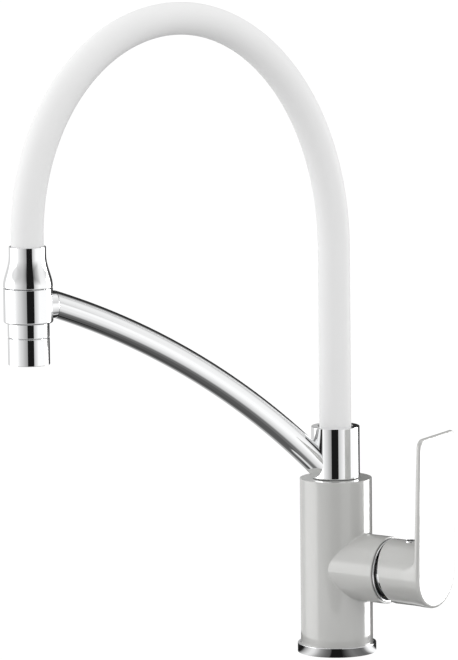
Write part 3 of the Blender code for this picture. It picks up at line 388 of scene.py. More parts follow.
@dataclass(frozen=True)
class PolishedChrome(Finish):
    """Bright plating with hairline polishing marks and slight smears."""

    slot: Slot = Slot.CHROME
    colour: Triple = (0.93, 0.935, 0.94)
    worn: Triple = (0.90, 0.905, 0.91)
    roughness: float = 0.035
    smear: float = 0.03
    smear_size: float = 0.012
    hairline_size: float = 0.0009
    hairline_stretch: float = 12.0
    hairline_height: float = 0.000001
    hairline_strength: float = 0.2

    def constants(self) -> dict[str, object]:
        """Bare metal."""
        return {"Metallic": 1.0}

    def varied(self, shading: Shading) -> Varied:
        """Smears and polishing marks."""
        place = shading.object_place()
        smears = shading.noise(place, self.smear_size, detail=4, roughness=0.6)
        scale = (1.0, 1.0, self.hairline_stretch)
        stretched = shading.node("ShaderNodeMapping", {"Vector": place, "Scale": scale})
        hairs = shading.noise(stretched.outputs[0], self.hairline_size)
        return {
            "Base Color": shading.tint(smears, self.worn, self.colour),
            "Roughness": smears.about(self.roughness, self.smear),
            "Normal": shading.bump(hairs, self.hairline_strength, self.hairline_height),
        }


@dataclass(frozen=True)
class MatteSilicone(Finish):
    """Moulded silicone with a fine grain and a faint parting line along the hose."""

    slot: Slot = Slot.SILICONE
    colour: Triple = (0.83, 0.83, 0.83)
    shaded: Triple = (0.805, 0.805, 0.805)
    roughness: float = 0.62
    cloud_size: float = 0.035
    cloud_spread: float = 0.12
    grain_size: float = 0.0006
    grain_height: float = 0.00004
    grain_strength: float = 0.4
    line_width: float = 0.0003
    radius: float = 0.0111

    def constants(self) -> dict[str, object]:
        """Soft surface."""
        return {"IOR": 1.41}

    def varied(self, shading: Shading) -> Varied:
        """Tone, grain and the parting lines on both sides of the hose."""
        skin = shading.attribute(HOSE_SKIN).outputs["Vector"]
        across, _, _ = shading.split(skin)
        cloud = shading.noise(skin, self.cloud_size, detail=3)
        grain = shading.noise(skin, self.grain_size)
        line = abs(across).bump_at(self.radius, self.line_width * self.line_width / self.radius)
        return {
            "Base Color": shading.tint(cloud, self.shaded, self.colour),
            "Roughness": cloud.about(self.roughness, self.cloud_spread),
            "Normal": shading.bump(grain / 2 + line, self.grain_strength, self.grain_height),
        }


@dataclass(frozen=True)
class TurnedMetal(Finish):
    """Lathe-turned metal whose tool marks run round its axis."""

    colour: Triple
    tarnish: Triple
    roughness: float
    axis: Triple = (0.0, 0.0, 1.0)
    mark_width: float = 0.00025
    mark_height: float = 0.000008
    mark_strength: float = 0.5
    cloud_size: float = 0.006
    cloud_spread: float = 0.2

    def label(self) -> str:
        """The slot with the direction of its tool marks."""
        along = "upright" if self.axis[2] > 0.5 else "sideways"
        return f"{self.slot.value}_{along}_finish"

    def constants(self) -> dict[str, object]:
        """Bare metal."""
        return {"Metallic": 1.0}

    def varied(self, shading: Shading) -> Varied:
        """Tool marks and tarnish."""
        place = shading.object_place()
        marks = abs((shading.dot(place, self.axis) / self.mark_width).fract() - 0.5) * 2.0
        cloud = shading.noise(place, self.cloud_size, detail=4, roughness=0.6)
        return {
            "Base Color": shading.tint(cloud, self.tarnish, self.colour),
            "Roughness": cloud.about(self.roughness, self.cloud_spread),
            "Normal": shading.bump(marks + cloud, self.mark_strength, self.mark_height),
        }


@dataclass(frozen=True)
class Moulded(Finish):
    """Plastic, rubber or ceramic with a fine surface grain."""

    colour: Triple
    shaded: Triple
    roughness: float
    grain_size: float = 0.0004
    grain_height: float = 0.00002
    grain_strength: float = 0.4
    grain_spread: float = 0.16
    cloud_size: float = 0.005

    def varied(self, shading: Shading) -> Varied:
        """Tone and grain."""
        place = shading.object_place()
        cloud = shading.noise(place, self.cloud_size, detail=3)
        grain = shading.noise(place, self.grain_size)
        return {
            "Base Color": shading.tint(cloud, self.shaded, self.colour),
            "Roughness": grain.about(self.roughness, self.grain_spread),
            "Normal": shading.bump(grain, self.grain_strength, self.grain_height),
        }


LACQUER = GlossLacquer()
CHROME = PolishedChrome()
SILICONE = MatteSilicone()
BRASS = TurnedMetal(Slot.BRASS, (0.78, 0.60, 0.30), (0.62, 0.44, 0.20), 0.30)
BOSS_BRASS = replace(BRASS, axis=tuple(BOSS_DIRECTION))
STEEL = TurnedMetal(Slot.STEEL, (0.55, 0.56, 0.58), (0.45, 0.46, 0.48), 0.35)
HOSE_RUBBER = Moulded(Slot.HOSE, (0.20, 0.20, 0.21), (0.14, 0.14, 0.15), 0.60)
SEAL_RUBBER = Moulded(Slot.SEAL, (0.035, 0.035, 0.035), (0.022, 0.022, 0.022), 0.70)
GREY_PLASTIC = Moulded(Slot.GREY_PLASTIC, (0.55, 0.56, 0.57), (0.50, 0.51, 0.52), 0.45)
WHITE_PLASTIC = Moulded(Slot.WHITE_PLASTIC, (0.78, 0.78, 0.76), (0.72, 0.72, 0.70), 0.40)
CERAMIC = Moulded(Slot.CERAMIC, (0.88, 0.86, 0.82), (0.82, 0.80, 0.76), 0.25, 0.0002, 0.000006)


@dataclass(frozen=True)
class Axis:
    """A line that pieces are turned about."""

    origin: Vector
    along: Vector
    across: Vector

    @classmethod
    def upright(cls, x: float = 0.0) -> "Axis":
        """A vertical axis over a point of the X axis."""
        return cls(Vector((x, 0, 0)), Vector((0, 0, 1)), Vector((1, 0, 0)))

    @classmethod
    def boss(cls, reach: float = 0.0) -> "Axis":
        """The lever boss's axis, with its zero at a reach from the body's axis."""
        origin = Vector((0, 0, BOSS_HEIGHT)) + BOSS_DIRECTION * reach
        return cls(origin, BOSS_DIRECTION.copy(), Vector((-BOSS_DIRECTION.y, BOSS_DIRECTION.x, 0)))

    def matrix(self) -> Matrix:
        """From the axis's own frame, where Z runs along it, to the row frame."""
        side = self.along.cross(self.across)
        turn = Matrix((self.across, side, self.along)).transposed()
        return Matrix.Translation(self.origin) @ turn.to_4x4()


@dataclass(frozen=True)
class Turned:
    """Where a turned solid stands: its axis in plan, its radius, and its two ends."""

    x: float
    radius: float
    foot: float
    top: float

    @classmethod
    def of(cls, node: str) -> "Turned":
        """Reads an upright turned node's box."""
        low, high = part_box(node)
        return cls((low[0] + high[0]) / 2, (high[0] - low[0]) / 2, low[2], high[2])


def arc(centre: Point2, radius: float, start: float, end: float, steps: int) -> list[Point2]:
    """Points of an arc between two angles in degrees, its ends included."""
    angles = [math.radians(start + (end - start) * i / steps) for i in range(steps + 1)]
    return [(centre[0] + radius * math.cos(a), centre[1] + radius * math.sin(a)) for a in angles]


def rounded(corners: Sequence[Triple], closed: bool) -> list[Point2]:
    """An outline whose corners are rounded, with support points beside each round.

    Args:
        corners: (radius from the axis, height, fillet) of each corner.
        closed: Whether the last corner joins the first.

    Returns:
        The outline's points.
    """
    points: list[Point2] = []
    count = len(corners)
    for index, (x, y, fillet) in enumerate(corners):
        is_end = not closed and index in (0, count - 1)
        if is_end or fillet <= 0:
            points.append((x, y))
            continue
        here = Vector((x, y))
        back = Vector(corners[index - 1][:2]) - here
        ahead = Vector(corners[(index + 1) % count][:2]) - here
        half = back.angle(ahead) / 2
        run = fillet / math.tan(half)
        into, away = back.normalized(), ahead.normalized()
        middle = here + (into + away).normalized() * (fillet / math.sin(half))
        first, last = here + into * run, here + away * run
        points.append(tuple(first + into * min(SUPPORT, max(back.length - run, 0) / 3)))
        start = math.atan2(*reversed(tuple(first - middle)))
        turn = math.atan2(*reversed(tuple(last - middle))) - start
        turn = (turn + math.pi) % (2 * math.pi) - math.pi
        points += arc(middle, fillet, math.degrees(start), math.degrees(start + turn), FILLET_STEPS)
        points.append(tuple(last + away * min(SUPPORT, max(ahead.length - run, 0) / 3)))
    return points


def tube_outline(inner: float, outer: float, foot: float, top: float) -> list[Point2]:
    """A plain tube's outline, or a cylinder's where the inner radius is 0."""
    return [(inner, top), (outer, top), (outer, foot), (inner, foot)]


def rounded_tube(inner: float, outer: float, foot: float, top: float, rounds: Rounds) -> list[Point2]:
    """A tube's outline with fillets at its outer top, outer foot, inner foot and inner top."""
    corners = ((outer, top), (outer, foot), (inner, foot), (inner, top))
    return rounded([(*corner, fillet) for corner, fillet in zip(corners, rounds)], closed=True)


def eased(share: float) -> float:
    """A share from 0 to 1 that starts and ends gently."""
    return share * share * (3 - 2 * share)


def between(start: Vector, end: Vector, count: int) -> list[Point2]:
    """Points that divide a straight line, its ends left out."""
    return [tuple(start.lerp(end, i / count)) for i in range(1, count)]


def spoke(side: Vector, reach: float, height: float) -> Vector:
    """A point at a height, at a reach from the axis in a level direction."""
    return Vector((side.x * reach, side.y * reach, height))


def circle(radius: float, height: float, angles: Iterable[float]) -> list[Vector]:
    """A level ring of points, or a pole where it has no radius."""
    if radius < WELD:
        return [Vector((0, 0, height))]
    return [Vector((radius * math.cos(a), radius * math.sin(a), height)) for a in angles]


def rolled(centre: Vector, first: Vector, last: Vector, share: float) -> Vector:
    """A point on the arc between two points that lie equally far from a centre.

    Args:
        centre: The arc's centre.
        first: Its first point.
        last: Its last point.
        share: How far along the arc, from 0 to 1.

    Returns:
        The point.
    """
    start, end = first - centre, last - centre
    whole = start.angle(end)
    turned = start * math.sin((1 - share) * whole) + end * math.sin(share * whole)
    return centre + turned / math.sin(whole)


def new_object(name: str, data: Mesh | bpy.types.Light | bpy.types.Camera) -> Object:
    """Puts a named mesh, lamp or camera into the scene's own collection."""
    made = bpy.data.objects.new(name, data)
    bpy.context.scene.collection.objects.link(made)
    return made


def mesh_from(name: str, solid: bmesh.types.BMesh) -> Mesh:
    """Turns a closed bmesh into a mesh with outward faces, and frees it.

    Args:
        name: The mesh's name.
        solid: The shape.

    Returns:
        The mesh, smooth apart from its sharp edges.
    """
    bmesh.ops.remove_doubles(solid, verts=solid.verts, dist=WELD)
    loose = [vertex for vertex in solid.verts if not vertex.link_faces]
    bmesh.ops.delete(solid, geom=loose, context="VERTS")
    bmesh.ops.recalc_face_normals(solid, faces=solid.faces)
    mesh = bpy.data.meshes.new(name)
    solid.to_mesh(mesh)
    solid.free()
    smooth(mesh)
    return mesh


def smooth(mesh: Mesh) -> None:
    """Smooth shading that breaks at sharp edges."""
    mesh.shade_smooth()
    mesh.set_sharp_from_angle(angle=SHARP_ANGLE)


def add_rings(solid: bmesh.types.BMesh, rings: Sequence[Sequence[Vector]], closed: bool = False) -> None:
    """Joins rings of points with faces. A ring of one point is a pole.

    Args:
        solid: The shape that the faces go into.
        rings: Rings of equally many points, each going round.
        closed: Whether the last ring joins the first.
    """
    layers = [[solid.verts.new(point) for point in ring] for ring in rings]
    pairs = list(zip(layers, layers[1:]))
    if closed:
        pairs.append((layers[-1], layers[0]))
    for low, high in pairs:
        count = max(len(low), len(high))
        for i in range(count):
            j = (i + 1) % count
            loop = [low[i % len(low)], low[j % len(low)], high[j % len(high)], high[i % len(high)]]
            corners = list(dict.fromkeys(loop))
            if len(corners) > 2:
                solid.faces.new(corners)


def lathe(
    name: str, outline: Sequence[Point2], axis: Axis, sides: int = LATHE_SIDES
) -> Object:
    """Turns an outline about an axis into a closed piece.

    Args:
        name: The piece's name.
        outline: (radius, height) points. It closes on itself where it stays off the axis.
        axis: The axis it is turned about.
        sides: Number of sides.

    Returns:
        The piece, with its place in its mesh.
    """
    solid = bmesh.new()
    turns = [2 * math.pi * i / sides for i in range(sides)]
    rings = [circle(radius, height, turns) for radius, height in outline]
    add_rings(solid, rings, closed=all(len(ring) > 1 for ring in rings))
    solid.transform(axis.matrix())
    return new_object(name, mesh_from(name, solid))


def box_piece(name: str, low: Vector, high: Vector, place: Matrix | None = None) -> Object:
    """A box between two corners, for cutting.

    Args:
        name: The piece's name.
        low: Its lowest corner.
        high: Its highest corner.
        place: The frame that the corners are given in.

    Returns:
        The box.
    """
    solid = bmesh.new()
    bmesh.ops.create_cube(solid, size=1)
    bmesh.ops.scale(solid, verts=solid.verts, vec=high - low)
    bmesh.ops.translate(solid, verts=solid.verts, vec=(low + high) / 2)
    if place:
        solid.transform(place)
    return new_object(name, mesh_from(name, solid))


def settle(piece: Object) -> Object:
    """Bakes a piece's modifiers into its mesh.

    Args:
        piece: The piece.

    Returns:
        The piece.
    """
    graph = bpy.context.evaluated_depsgraph_get()
    mesh = bpy.data.meshes.new_from_object(piece.evaluated_get(graph))
    old = piece.data
    piece.modifiers.clear()
    piece.data = mesh
    if isinstance(old, Mesh):
        bpy.data.meshes.remove(old)
    return piece


def shaped(
    piece: Object, tools: Iterable[Object], cut: Cut = Cut.REMOVE
) -> Object:
    """Cuts a piece with tools, or joins them to it, and removes the tools.

    Args:
        piece: The piece that is changed.
        tools: The tools.
        cut: What they do.

    Returns:
        The piece.
    """
    tools = list(tools)
    for tool in tools:
        step = piece.modifiers.new(tool.name, "BOOLEAN")
        step.operation = cut.value
        step.solver = "EXACT"
        step.object = tool
    settle(piece)
    for tool in tools:
        bpy.data.objects.remove(tool, do_unlink=True)
    smooth(piece.data)
    return piece


def dress(
    piece: Object,
    finish: Finish,
    body: Body,
    nodes: Sequence[str] = (),
) -> Object:
    """Gives a piece its finish, its body, and the nodes that it stands for.

    Args:
        piece: The piece.
        finish: Its finish.
        body: The body that it rides on.
        nodes: The nodes that it replaces.

    Returns:
        The piece.
    """
    piece.data.materials.clear()
    piece.data.materials.append(finish.material())
    if nodes:
        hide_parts(*nodes)
    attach(piece, body.value)
    LOG.info("%s: %d faces, rides on %s", piece.name, len(piece.data.polygons), body.value)
    return piece


def dress_nodes(finish: Finish, names: Iterable[str]) -> None:
    """Gives CAD nodes that stay as they are their finish.

    Args:
        finish: The finish.
        names: The nodes.
    """
    for name in names:
        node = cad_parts[name]
        node.data.materials.clear()
        node.data.materials.append(finish.material())
        LOG.info("%s: kept, %s", name, finish.label())


class PieceTree(Nodes):
    """A Geometry Nodes tree with named inputs, which ends in real geometry with a material."""

    def __init__(self, name: str, inputs: Mapping[str, object]) -> None:
        """Starts a tree.

        Args:
            name: The tree's name.
            inputs: A value of each input's kind, by name.
        """
        super().__init__(bpy.data.node_groups.new(name, "GeometryNodeTree"))
        face = self.tree.interface
        face.new_socket(name="Geometry", in_out="INPUT", socket_type="NodeSocketGeometry")
        kinds = {int: "NodeSocketInt", float: "NodeSocketFloat", tuple: "NodeSocketVector"}
        for label, value in inputs.items():
            face.new_socket(name=label, in_out="INPUT", socket_type=kinds[type(value)])
        face.new_socket(name="Material", in_out="INPUT", socket_type="NodeSocketMaterial")
        face.new_socket(name="Geometry", in_out="OUTPUT", socket_type="NodeSocketGeometry")
        self.start = self.tree.nodes.new("NodeGroupInput")

    def input(self, name: str) -> NodeSocket:
        """A named input of the tree."""
        return self.start.outputs[name]

    def finish(self, geometry: NodeSocket) -> None:
        """Ends the tree in Realize Instances and Set Material.

        Args:
            geometry: The shape that the tree makes.
        """
        real = self.node("GeometryNodeRealizeInstances", {"Geometry": geometry})
        values = {"Geometry": real.outputs[0], "Material": self.input("Material")}
        painted = self.node("GeometryNodeSetMaterial", values)
        self.node("NodeGroupOutput", {0: painted.outputs[0]})

    def grow(
        self, name: str, base: Mesh, values: Mapping[str, object], finish: Finish
    ) -> Object:
        """Runs the tree on a base mesh and keeps the result as a plain mesh.

        Args:
            name: The piece's name.
            base: The mesh that the tree starts from.
            values: A value for each input.
            finish: The finish whose material is set.

        Returns:
            The piece.
        """
        piece = new_object(name, base)
        step = piece.modifiers.new(name, "NODES")
        step.node_group = self.tree
        settings = {**values, "Material": finish.material()}
        for item in self.tree.interface.items_tree:
            if item.item_type == "SOCKET" and item.in_out == "INPUT" and item.name in settings:
                step[item.identifier] = settings[item.name]
        return settle(piece)


def route_mesh(name: str, route: Sequence[Point2]) -> Mesh:
    """A polyline in the XZ plane."""
    mesh = bpy.data.meshes.new(name)
    mesh.from_pydata([(x, 0, z) for x, z in route], [(i, i + 1) for i in range(len(route) - 1)], [])
    return mesh


def swept_tube_tree() -> PieceTree:
    """A tree that sweeps a circle along a route and stores where each point lies on the skin."""
    tree = PieceTree("swept_tube", {"Radius": 0.0, "Sides": 0})
    curve = tree.node("GeometryNodeMeshToCurve", {"Mesh": tree.input("Geometry")})
    spline = tree.node("GeometryNodeSplineParameter")
    marked = tree.node("GeometryNodeCaptureAttribute", {"Geometry": curve.outputs[0]})
    marked.capture_items.new("FLOAT", "Length")
    tree.tree.links.new(spline.outputs["Length"], marked.inputs[1])
    profile = tree.node(
        "GeometryNodeCurvePrimitiveCircle",
        {"Resolution": tree.input("Sides"), "Radius": tree.input("Radius")},
    )
    place = tree.node("GeometryNodeInputPosition")
    around = tree.node("GeometryNodeCaptureAttribute", {"Geometry": profile.outputs[0]})
    around.capture_items.new("VECTOR", "Around")
    tree.tree.links.new(place.outputs[0], around.inputs[1])
    skin = tree.node(
        "GeometryNodeCurveToMesh", {"Curve": marked.outputs[0], "Profile Curve": around.outputs[0]}
    )
    parts = tree.node("ShaderNodeSeparateXYZ", {0: around.outputs[1]})
    joined = tree.node(
        "ShaderNodeCombineXYZ", {0: parts.outputs[0], 1: parts.outputs[1], 2: marked.outputs[1]}
    )
    stored = tree.node(
        "GeometryNodeStoreNamedAttribute",
        {"Geometry": skin.outputs[0], "Name": HOSE_SKIN, "Value": joined.outputs[0]},
        {"data_type": "FLOAT_VECTOR", "domain": "POINT"},
    )
    tree.finish(stored.outputs[0])
    return tree


def bared_and_shaded(piece: Object, axis: Axis, radius: float, top: float) -> Object:
    """Marks the skin inside a round hollow as unpainted casting, which the lacquer paints near-black and
    uncoated as painted shade.

    Args:
        piece: The piece.
        axis: The hollow's axis.
        radius: The hollow's radius.
        top: The hollow's end along the axis.

    Returns:
        The piece.
    """
    inward = axis.matrix().inverted()
    casting_shade_mask = piece.data.attributes.new(CASTING_SHADE, "FLOAT", "POINT")
    for vertex in piece.data.vertices:
        place = inward @ vertex.co
        inside = place.xy.length < radius + WELD and 0 < place.z < top + WELD
        casting_shade_mask.data[vertex.index].value = float(inside)
    return piece


def walled(piece: Object, wall: float) -> Object:
    """Gives an open tube its wall, inwards, with its ends closed.

    Args:
        piece: The tube's skin.
        wall: The wall's thickness.

    Returns:
        The piece.
    """
    bm = bmesh.new()
    bm.from_mesh(piece.data)
    bmesh.ops.recalc_face_normals(bm, faces=bm.faces)
    bm.to_mesh(piece.data)
    bm.free()
    shell = piece.modifiers.new("wall", "SOLIDIFY")
    shell.thickness = wall
    shell.offset = -1
    settle(piece)
    smooth(piece.data)
    return piece


@dataclass
class BodyCasting:
    """The painted casting with its boss, the chrome ring round its foot, and the deck seal."""

    radius: float = 0.0250
    height: float = 0.1220
    top_edge: float = 0.0004
    boss_radius: float = 0.0233
    boss_reach: float = 0.0450
    boss_edge: float = 0.0005
    saddle: float = 0.0012
    round_points: int = 256
    skin_rings: int = 22
    skin_power: float = 1.6
    saddle_steps: int = 7
    boss_support: float = 3 * SUPPORT
    spigot_bore: Point2 = (0.0110, 0.0950)
    cartridge_bore: Point2 = (0.0178, 0.0120)
    nut_bore: Point2 = (0.0200, 0.0331)
    cover_groove: Triple = (0.0195, 0.0215, 0.0400)
    ports: Sequence[tuple[float, float, float, float]] = (
        (0.0050, -0.0072, 0.0050, 0.0120),
        (0.0050, 0.0072, 0.0050, 0.0120),
        (-0.0125, 0.0000, 0.0040, 0.0180),
    )
    seal_groove: Triple = (0.0200, 0.0234, 0.0018)
    seal_rounds: Rounds = (0.0003, 0.0004, 0.0004, 0.0003)
    ring_gap: float = 0.0002
    ring_rounds: Rounds = (0.0004, 0.0002, 0, 0.0001)

    def build(self) -> None:
        """Makes and dresses the three pieces."""
        dress(self._bored(self._casting()), LACQUER, Body.FIXED, ["body"])
        dress(self._base_ring(), CHROME, Body.FIXED, ["base_ring"])
        dress(self._base_seal(), SEAL_RUBBER, Body.FIXED, ["base_seal"])

    def _saddle_point(self, turn: float) -> tuple[Vector, Vector, Vector]:
        """Where the rolling fillet between boss and cylinder lies at a turn about the boss.

        Args:
            turn: Angle about the boss's axis.

        Returns:
            The fillet's centre, its contact with the boss, and its contact with the cylinder, as
            (along the boss, across it, up from its axis).
        """
        reach = self.radius + self.saddle
        ring = self.boss_radius + self.saddle
        across, up = ring * math.cos(turn), ring * math.sin(turn)
        centre = Vector((math.sqrt(reach**2 - across**2), across, up))
        on_boss = self._boss_ring([turn], self.boss_radius, centre.x)[0]
        share = self.radius / reach
        return centre, on_boss, Vector((centre.x * share, across * share, up))

    def _border(self, index: int) -> Point2:
        """A point on the edge of the unrolled cylinder.

        Args:
            index: Its number, counted from the cylinder's back.

        Returns:
            Its angle, and its height above the boss's axis.
        """
        low, high = -BOSS_HEIGHT, self.height - self.top_edge - BOSS_HEIGHT
        half = self.round_points // 2
        corner_high, corner_low = (
            round(half * math.atan2(height, math.pi * self.radius) / math.pi) for height in (high, -low)
        )
        place = index % self.round_points
        if place <= corner_high:
            return math.pi, high * place / corner_high
        if place < half - corner_high:
            share = (place - corner_high) / (half - 2 * corner_high)
            return math.pi * (1 - 2 * share), high
        if place <= half:
            return -math.pi, high * (half - place) / corner_high
        if place <= half + corner_low:
            return -math.pi, low * (place - half) / corner_low
        if place < self.round_points - corner_low:
            share = (place - half - corner_low) / (half - 2 * corner_low)
            return math.pi * (2 * share - 1), low
        return math.pi, low * (self.round_points - place) / corner_low

    def _casting(self) -> Object:
        """Cylinder and boss as one skin with a small fillet where they meet."""
        solid = bmesh.new()
        turns = [2 * math.pi * i / self.round_points for i in range(self.round_points)]
        saddles = [self._saddle_point(turn) for turn in turns]
        outline = rounded(
            [
                (0, self.boss_reach, 0),
                (self.boss_radius, self.boss_reach, self.boss_edge),
                (self.boss_radius, self.boss_reach / 2, 0),
            ],
            closed=False,
        )
        rings = [self._boss_ring(turns, radius, reach) for radius, reach in outline[:-1]]
        rings.append([on_boss + Vector((self.boss_support, 0, 0)) for _, on_boss, _ in saddles])
        for step in range(self.saddle_steps + 1):
            share = step / self.saddle_steps
            rings.append([rolled(centre, boss, skin, share) for centre, boss, skin in saddles])
        rings += self._skin(saddles)
        add_rings(solid, rings)
        self._add_ends(solid)
        place = Matrix.Translation((0, 0, BOSS_HEIGHT)) @ Matrix.Rotation(BOSS_ANGLE, 4, "Z")
        solid.transform(place)
        return new_object("body_casting", mesh_from("body_casting", solid))

    @staticmethod
    def _boss_ring(turns: Sequence[float], radius: float, reach: float) -> list[Vector]:
        """A ring of points about the boss, or a pole where it has no radius."""
        if radius < WELD:
            return [Vector((reach, 0, 0))]
        return [Vector((reach, radius * math.cos(turn), radius * math.sin(turn))) for turn in turns]

    def _skin(self, saddles: Sequence[tuple[Vector, Vector, Vector]]) -> Rings:
        """Rings on the cylinder, from the fillet out to the edge of its unrolled skin.

        Args:
            saddles: The fillet's points, as _saddle_point gives them.

        Returns:
            The rings.
        """
        rings = []
        for step in range(1, self.skin_rings + 1):
            share = (step / self.skin_rings) ** self.skin_power
            ring = []
            for index, (_, _, on_body) in enumerate(saddles):
                edge_angle, edge_height = self._border(index)
                angle = math.atan2(on_body.y, on_body.x)
                angle += (edge_angle - angle) * share
                height = on_body.z + (edge_height - on_body.z) * share
                ring += circle(self.radius, height, [angle])
            rings.append(ring)
        return rings

    def _add_ends(self, solid: bmesh.types.BMesh) -> None:
        """Closes the cylinder's two ends, the upper one with its rounded edge.

        Args:
            solid: The shape that they go into.
        """
        borders = [self._border(i) for i in range(self.round_points)]
        high, low = max(z for _, z in borders), min(z for _, z in borders)
        top = rounded(
            [
                (self.radius, high - self.top_edge, 0),
                (self.radius, self.height - BOSS_HEIGHT, self.top_edge),
                (0, self.height - BOSS_HEIGHT, 0),
            ],
            closed=False,
        )[2:]
        for border, outline in ((high, top), (low, [(self.radius, low), (0, low)])):
            angles = sorted({angle for angle, z in borders if z == border and angle > -math.pi})
            add_rings(solid, [circle(radius, z, angles) for radius, z in outline])

    def _bored(self, casting: Object) -> Object:
        """Cuts the bores, the ports, the stud's hole and the grooves of cover and seal.

        Args:
            casting: The casting.

        Returns:
            The casting, marked unpainted inside its boss and cover groove, where it gets painted shade.
        """
        bore, step = self.cartridge_bore
        wide, shoulder = self.nut_bore
        end = self.boss_reach + OVERRUN
        outline = [(0, end), (wide, end), (wide, shoulder), (bore, shoulder), (bore, step), (0, step)]
        inner, outer, floor = self.cover_groove
        spigot, well = self.spigot_bore
        near, far, depth = self.seal_groove
        tools = [
            lathe("cartridge_bore", outline, Axis.boss()),
            lathe("cover_groove", tube_outline(inner, outer, floor, end), Axis.boss()),
            lathe("spigot_bore", tube_outline(0, spigot, well, self.height + OVERRUN), Axis.upright()),
            lathe("seal_groove", tube_outline(near, far, -OVERRUN, depth), Axis.upright()),
        ]
        side = Matrix.Rotation(BOSS_ANGLE, 4, "Z")
        for index, (along, across, hole, deep) in enumerate(self.ports):
            outline = tube_outline(0, hole, -OVERRUN, deep)
            tool = lathe(f"port_{index}", outline, Axis.upright(), SMALL_LATHE_SIDES)
            tool.data.transform(side @ Matrix.Translation((along, across, 0)))
            tools.append(tool)
        # The boss's bore and the cover's groove get painted shade on their unpainted casting
        return bared_and_shaded(shaped(casting, tools), Axis.boss(), outer, self.boss_reach)

    def _base_ring(self) -> Object:
        """Chrome ring round the foot."""
        at = Turned.of("base_ring")
        inner = self.radius + self.ring_gap
        outline = rounded_tube(inner, at.radius, at.foot, at.top, self.ring_rounds)
        return lathe("foot_ring", outline, Axis.upright())

    def _base_seal(self) -> Object:
        """Rubber ring under the casting."""
        at = Turned.of("base_seal")
        inner = self.seal_groove[0] + SEAT_GAP
        outline = rounded_tube(inner, at.radius, at.foot, at.top, self.seal_rounds)
        return lathe("deck_seal", outline, Axis.upright())


@dataclass
class Cartridge:
    """The dome that shows behind the lever, its lip, a dark ring that is part seal and part painted shade
    in the gap, and the valve inside.
    """

    dome_radius: float = 0.0183
    wall: float = 0.0013
    lip_radius: float = 0.0219
    lip_foot: float = 0.0453
    lip_height: float = 0.0009
    lip_width: float = 0.0012
    lip_rounds: Rounds = (0.0005, 0.0001, 0.0001, 0.0005)
    skirt_foot: float = 0.0403
    seal_foot: float = 0.0426
    seal_height: float = 0.0008
    seal_room: float = 0.0001
    mouth: float = 0.0100
    dome_steps: int = 32
    inner_steps: int = 24

    def build(self) -> None:
        """Makes the three pieces that show, and dresses the valve's nodes."""
        dress(self._cover(), CHROME, Body.FIXED, ["cartridge_cover"])
        dress(self._lip(), CHROME, Body.FIXED)
        # Dark ring deep in the gap round the dome: seal and painted shade
        dress(self._dome_seal_and_shade(), SEAL_RUBBER, Body.FIXED)
        dress_nodes(GREY_PLASTIC, ["valve_base", "cartridge_housing"])
        dress_nodes(WHITE_PLASTIC, ["cartridge_carrier", "disc_driver"])
        dress_nodes(CERAMIC, ["fixed_disc", "moving_disc"])
        dress_nodes(SEAL_RUBBER, ["hot_port_seal", "cold_port_seal", "mixed_port_seal"])
        dress_nodes(BOSS_BRASS, ["cartridge_nut"])
        dress_nodes(STEEL, ["pivot_pin"])

    def _cover(self) -> Object:
        """Dome about the lever's pivot, on a round skirt."""
        skirt = self.skirt_foot - PIVOT_REACH
        inner = self.dome_radius - self.wall
        steep, steep_inner = (
            math.degrees(math.acos(self.mouth / radius)) for radius in (self.dome_radius, inner)
        )
        outline = [
            *arc((0, 0), self.dome_radius, steep, 0, self.dome_steps),
            (self.dome_radius, skirt),
            (inner, skirt),
            *arc((0, 0), inner, 0, steep_inner, self.inner_steps),
        ]
        return lathe("cartridge_dome", outline, Axis.boss(PIVOT_REACH))

    def _lip(self) -> Object:
        """Rolled ring between the boss's end and the dome."""
        inner, top = self.lip_radius - self.lip_width, self.lip_foot + self.lip_height
        outline = rounded_tube(inner, self.lip_radius, self.lip_foot, top, self.lip_rounds)
        return lathe("cover_lip", outline, Axis.boss())

    def _dome_seal_and_shade(self) -> Object:
        """Dark rubber ring that closes the room between the dome and the boss, a seal that also paints
        shade deep in the gap.
        """
        inner, outer = self.dome_radius + self.seal_room, self.lip_radius - self.lip_width
        outline = tube_outline(inner, outer, self.seal_foot, self.seal_foot + self.seal_height)
        return lathe("dome_seal_and_shade", outline, Axis.boss())


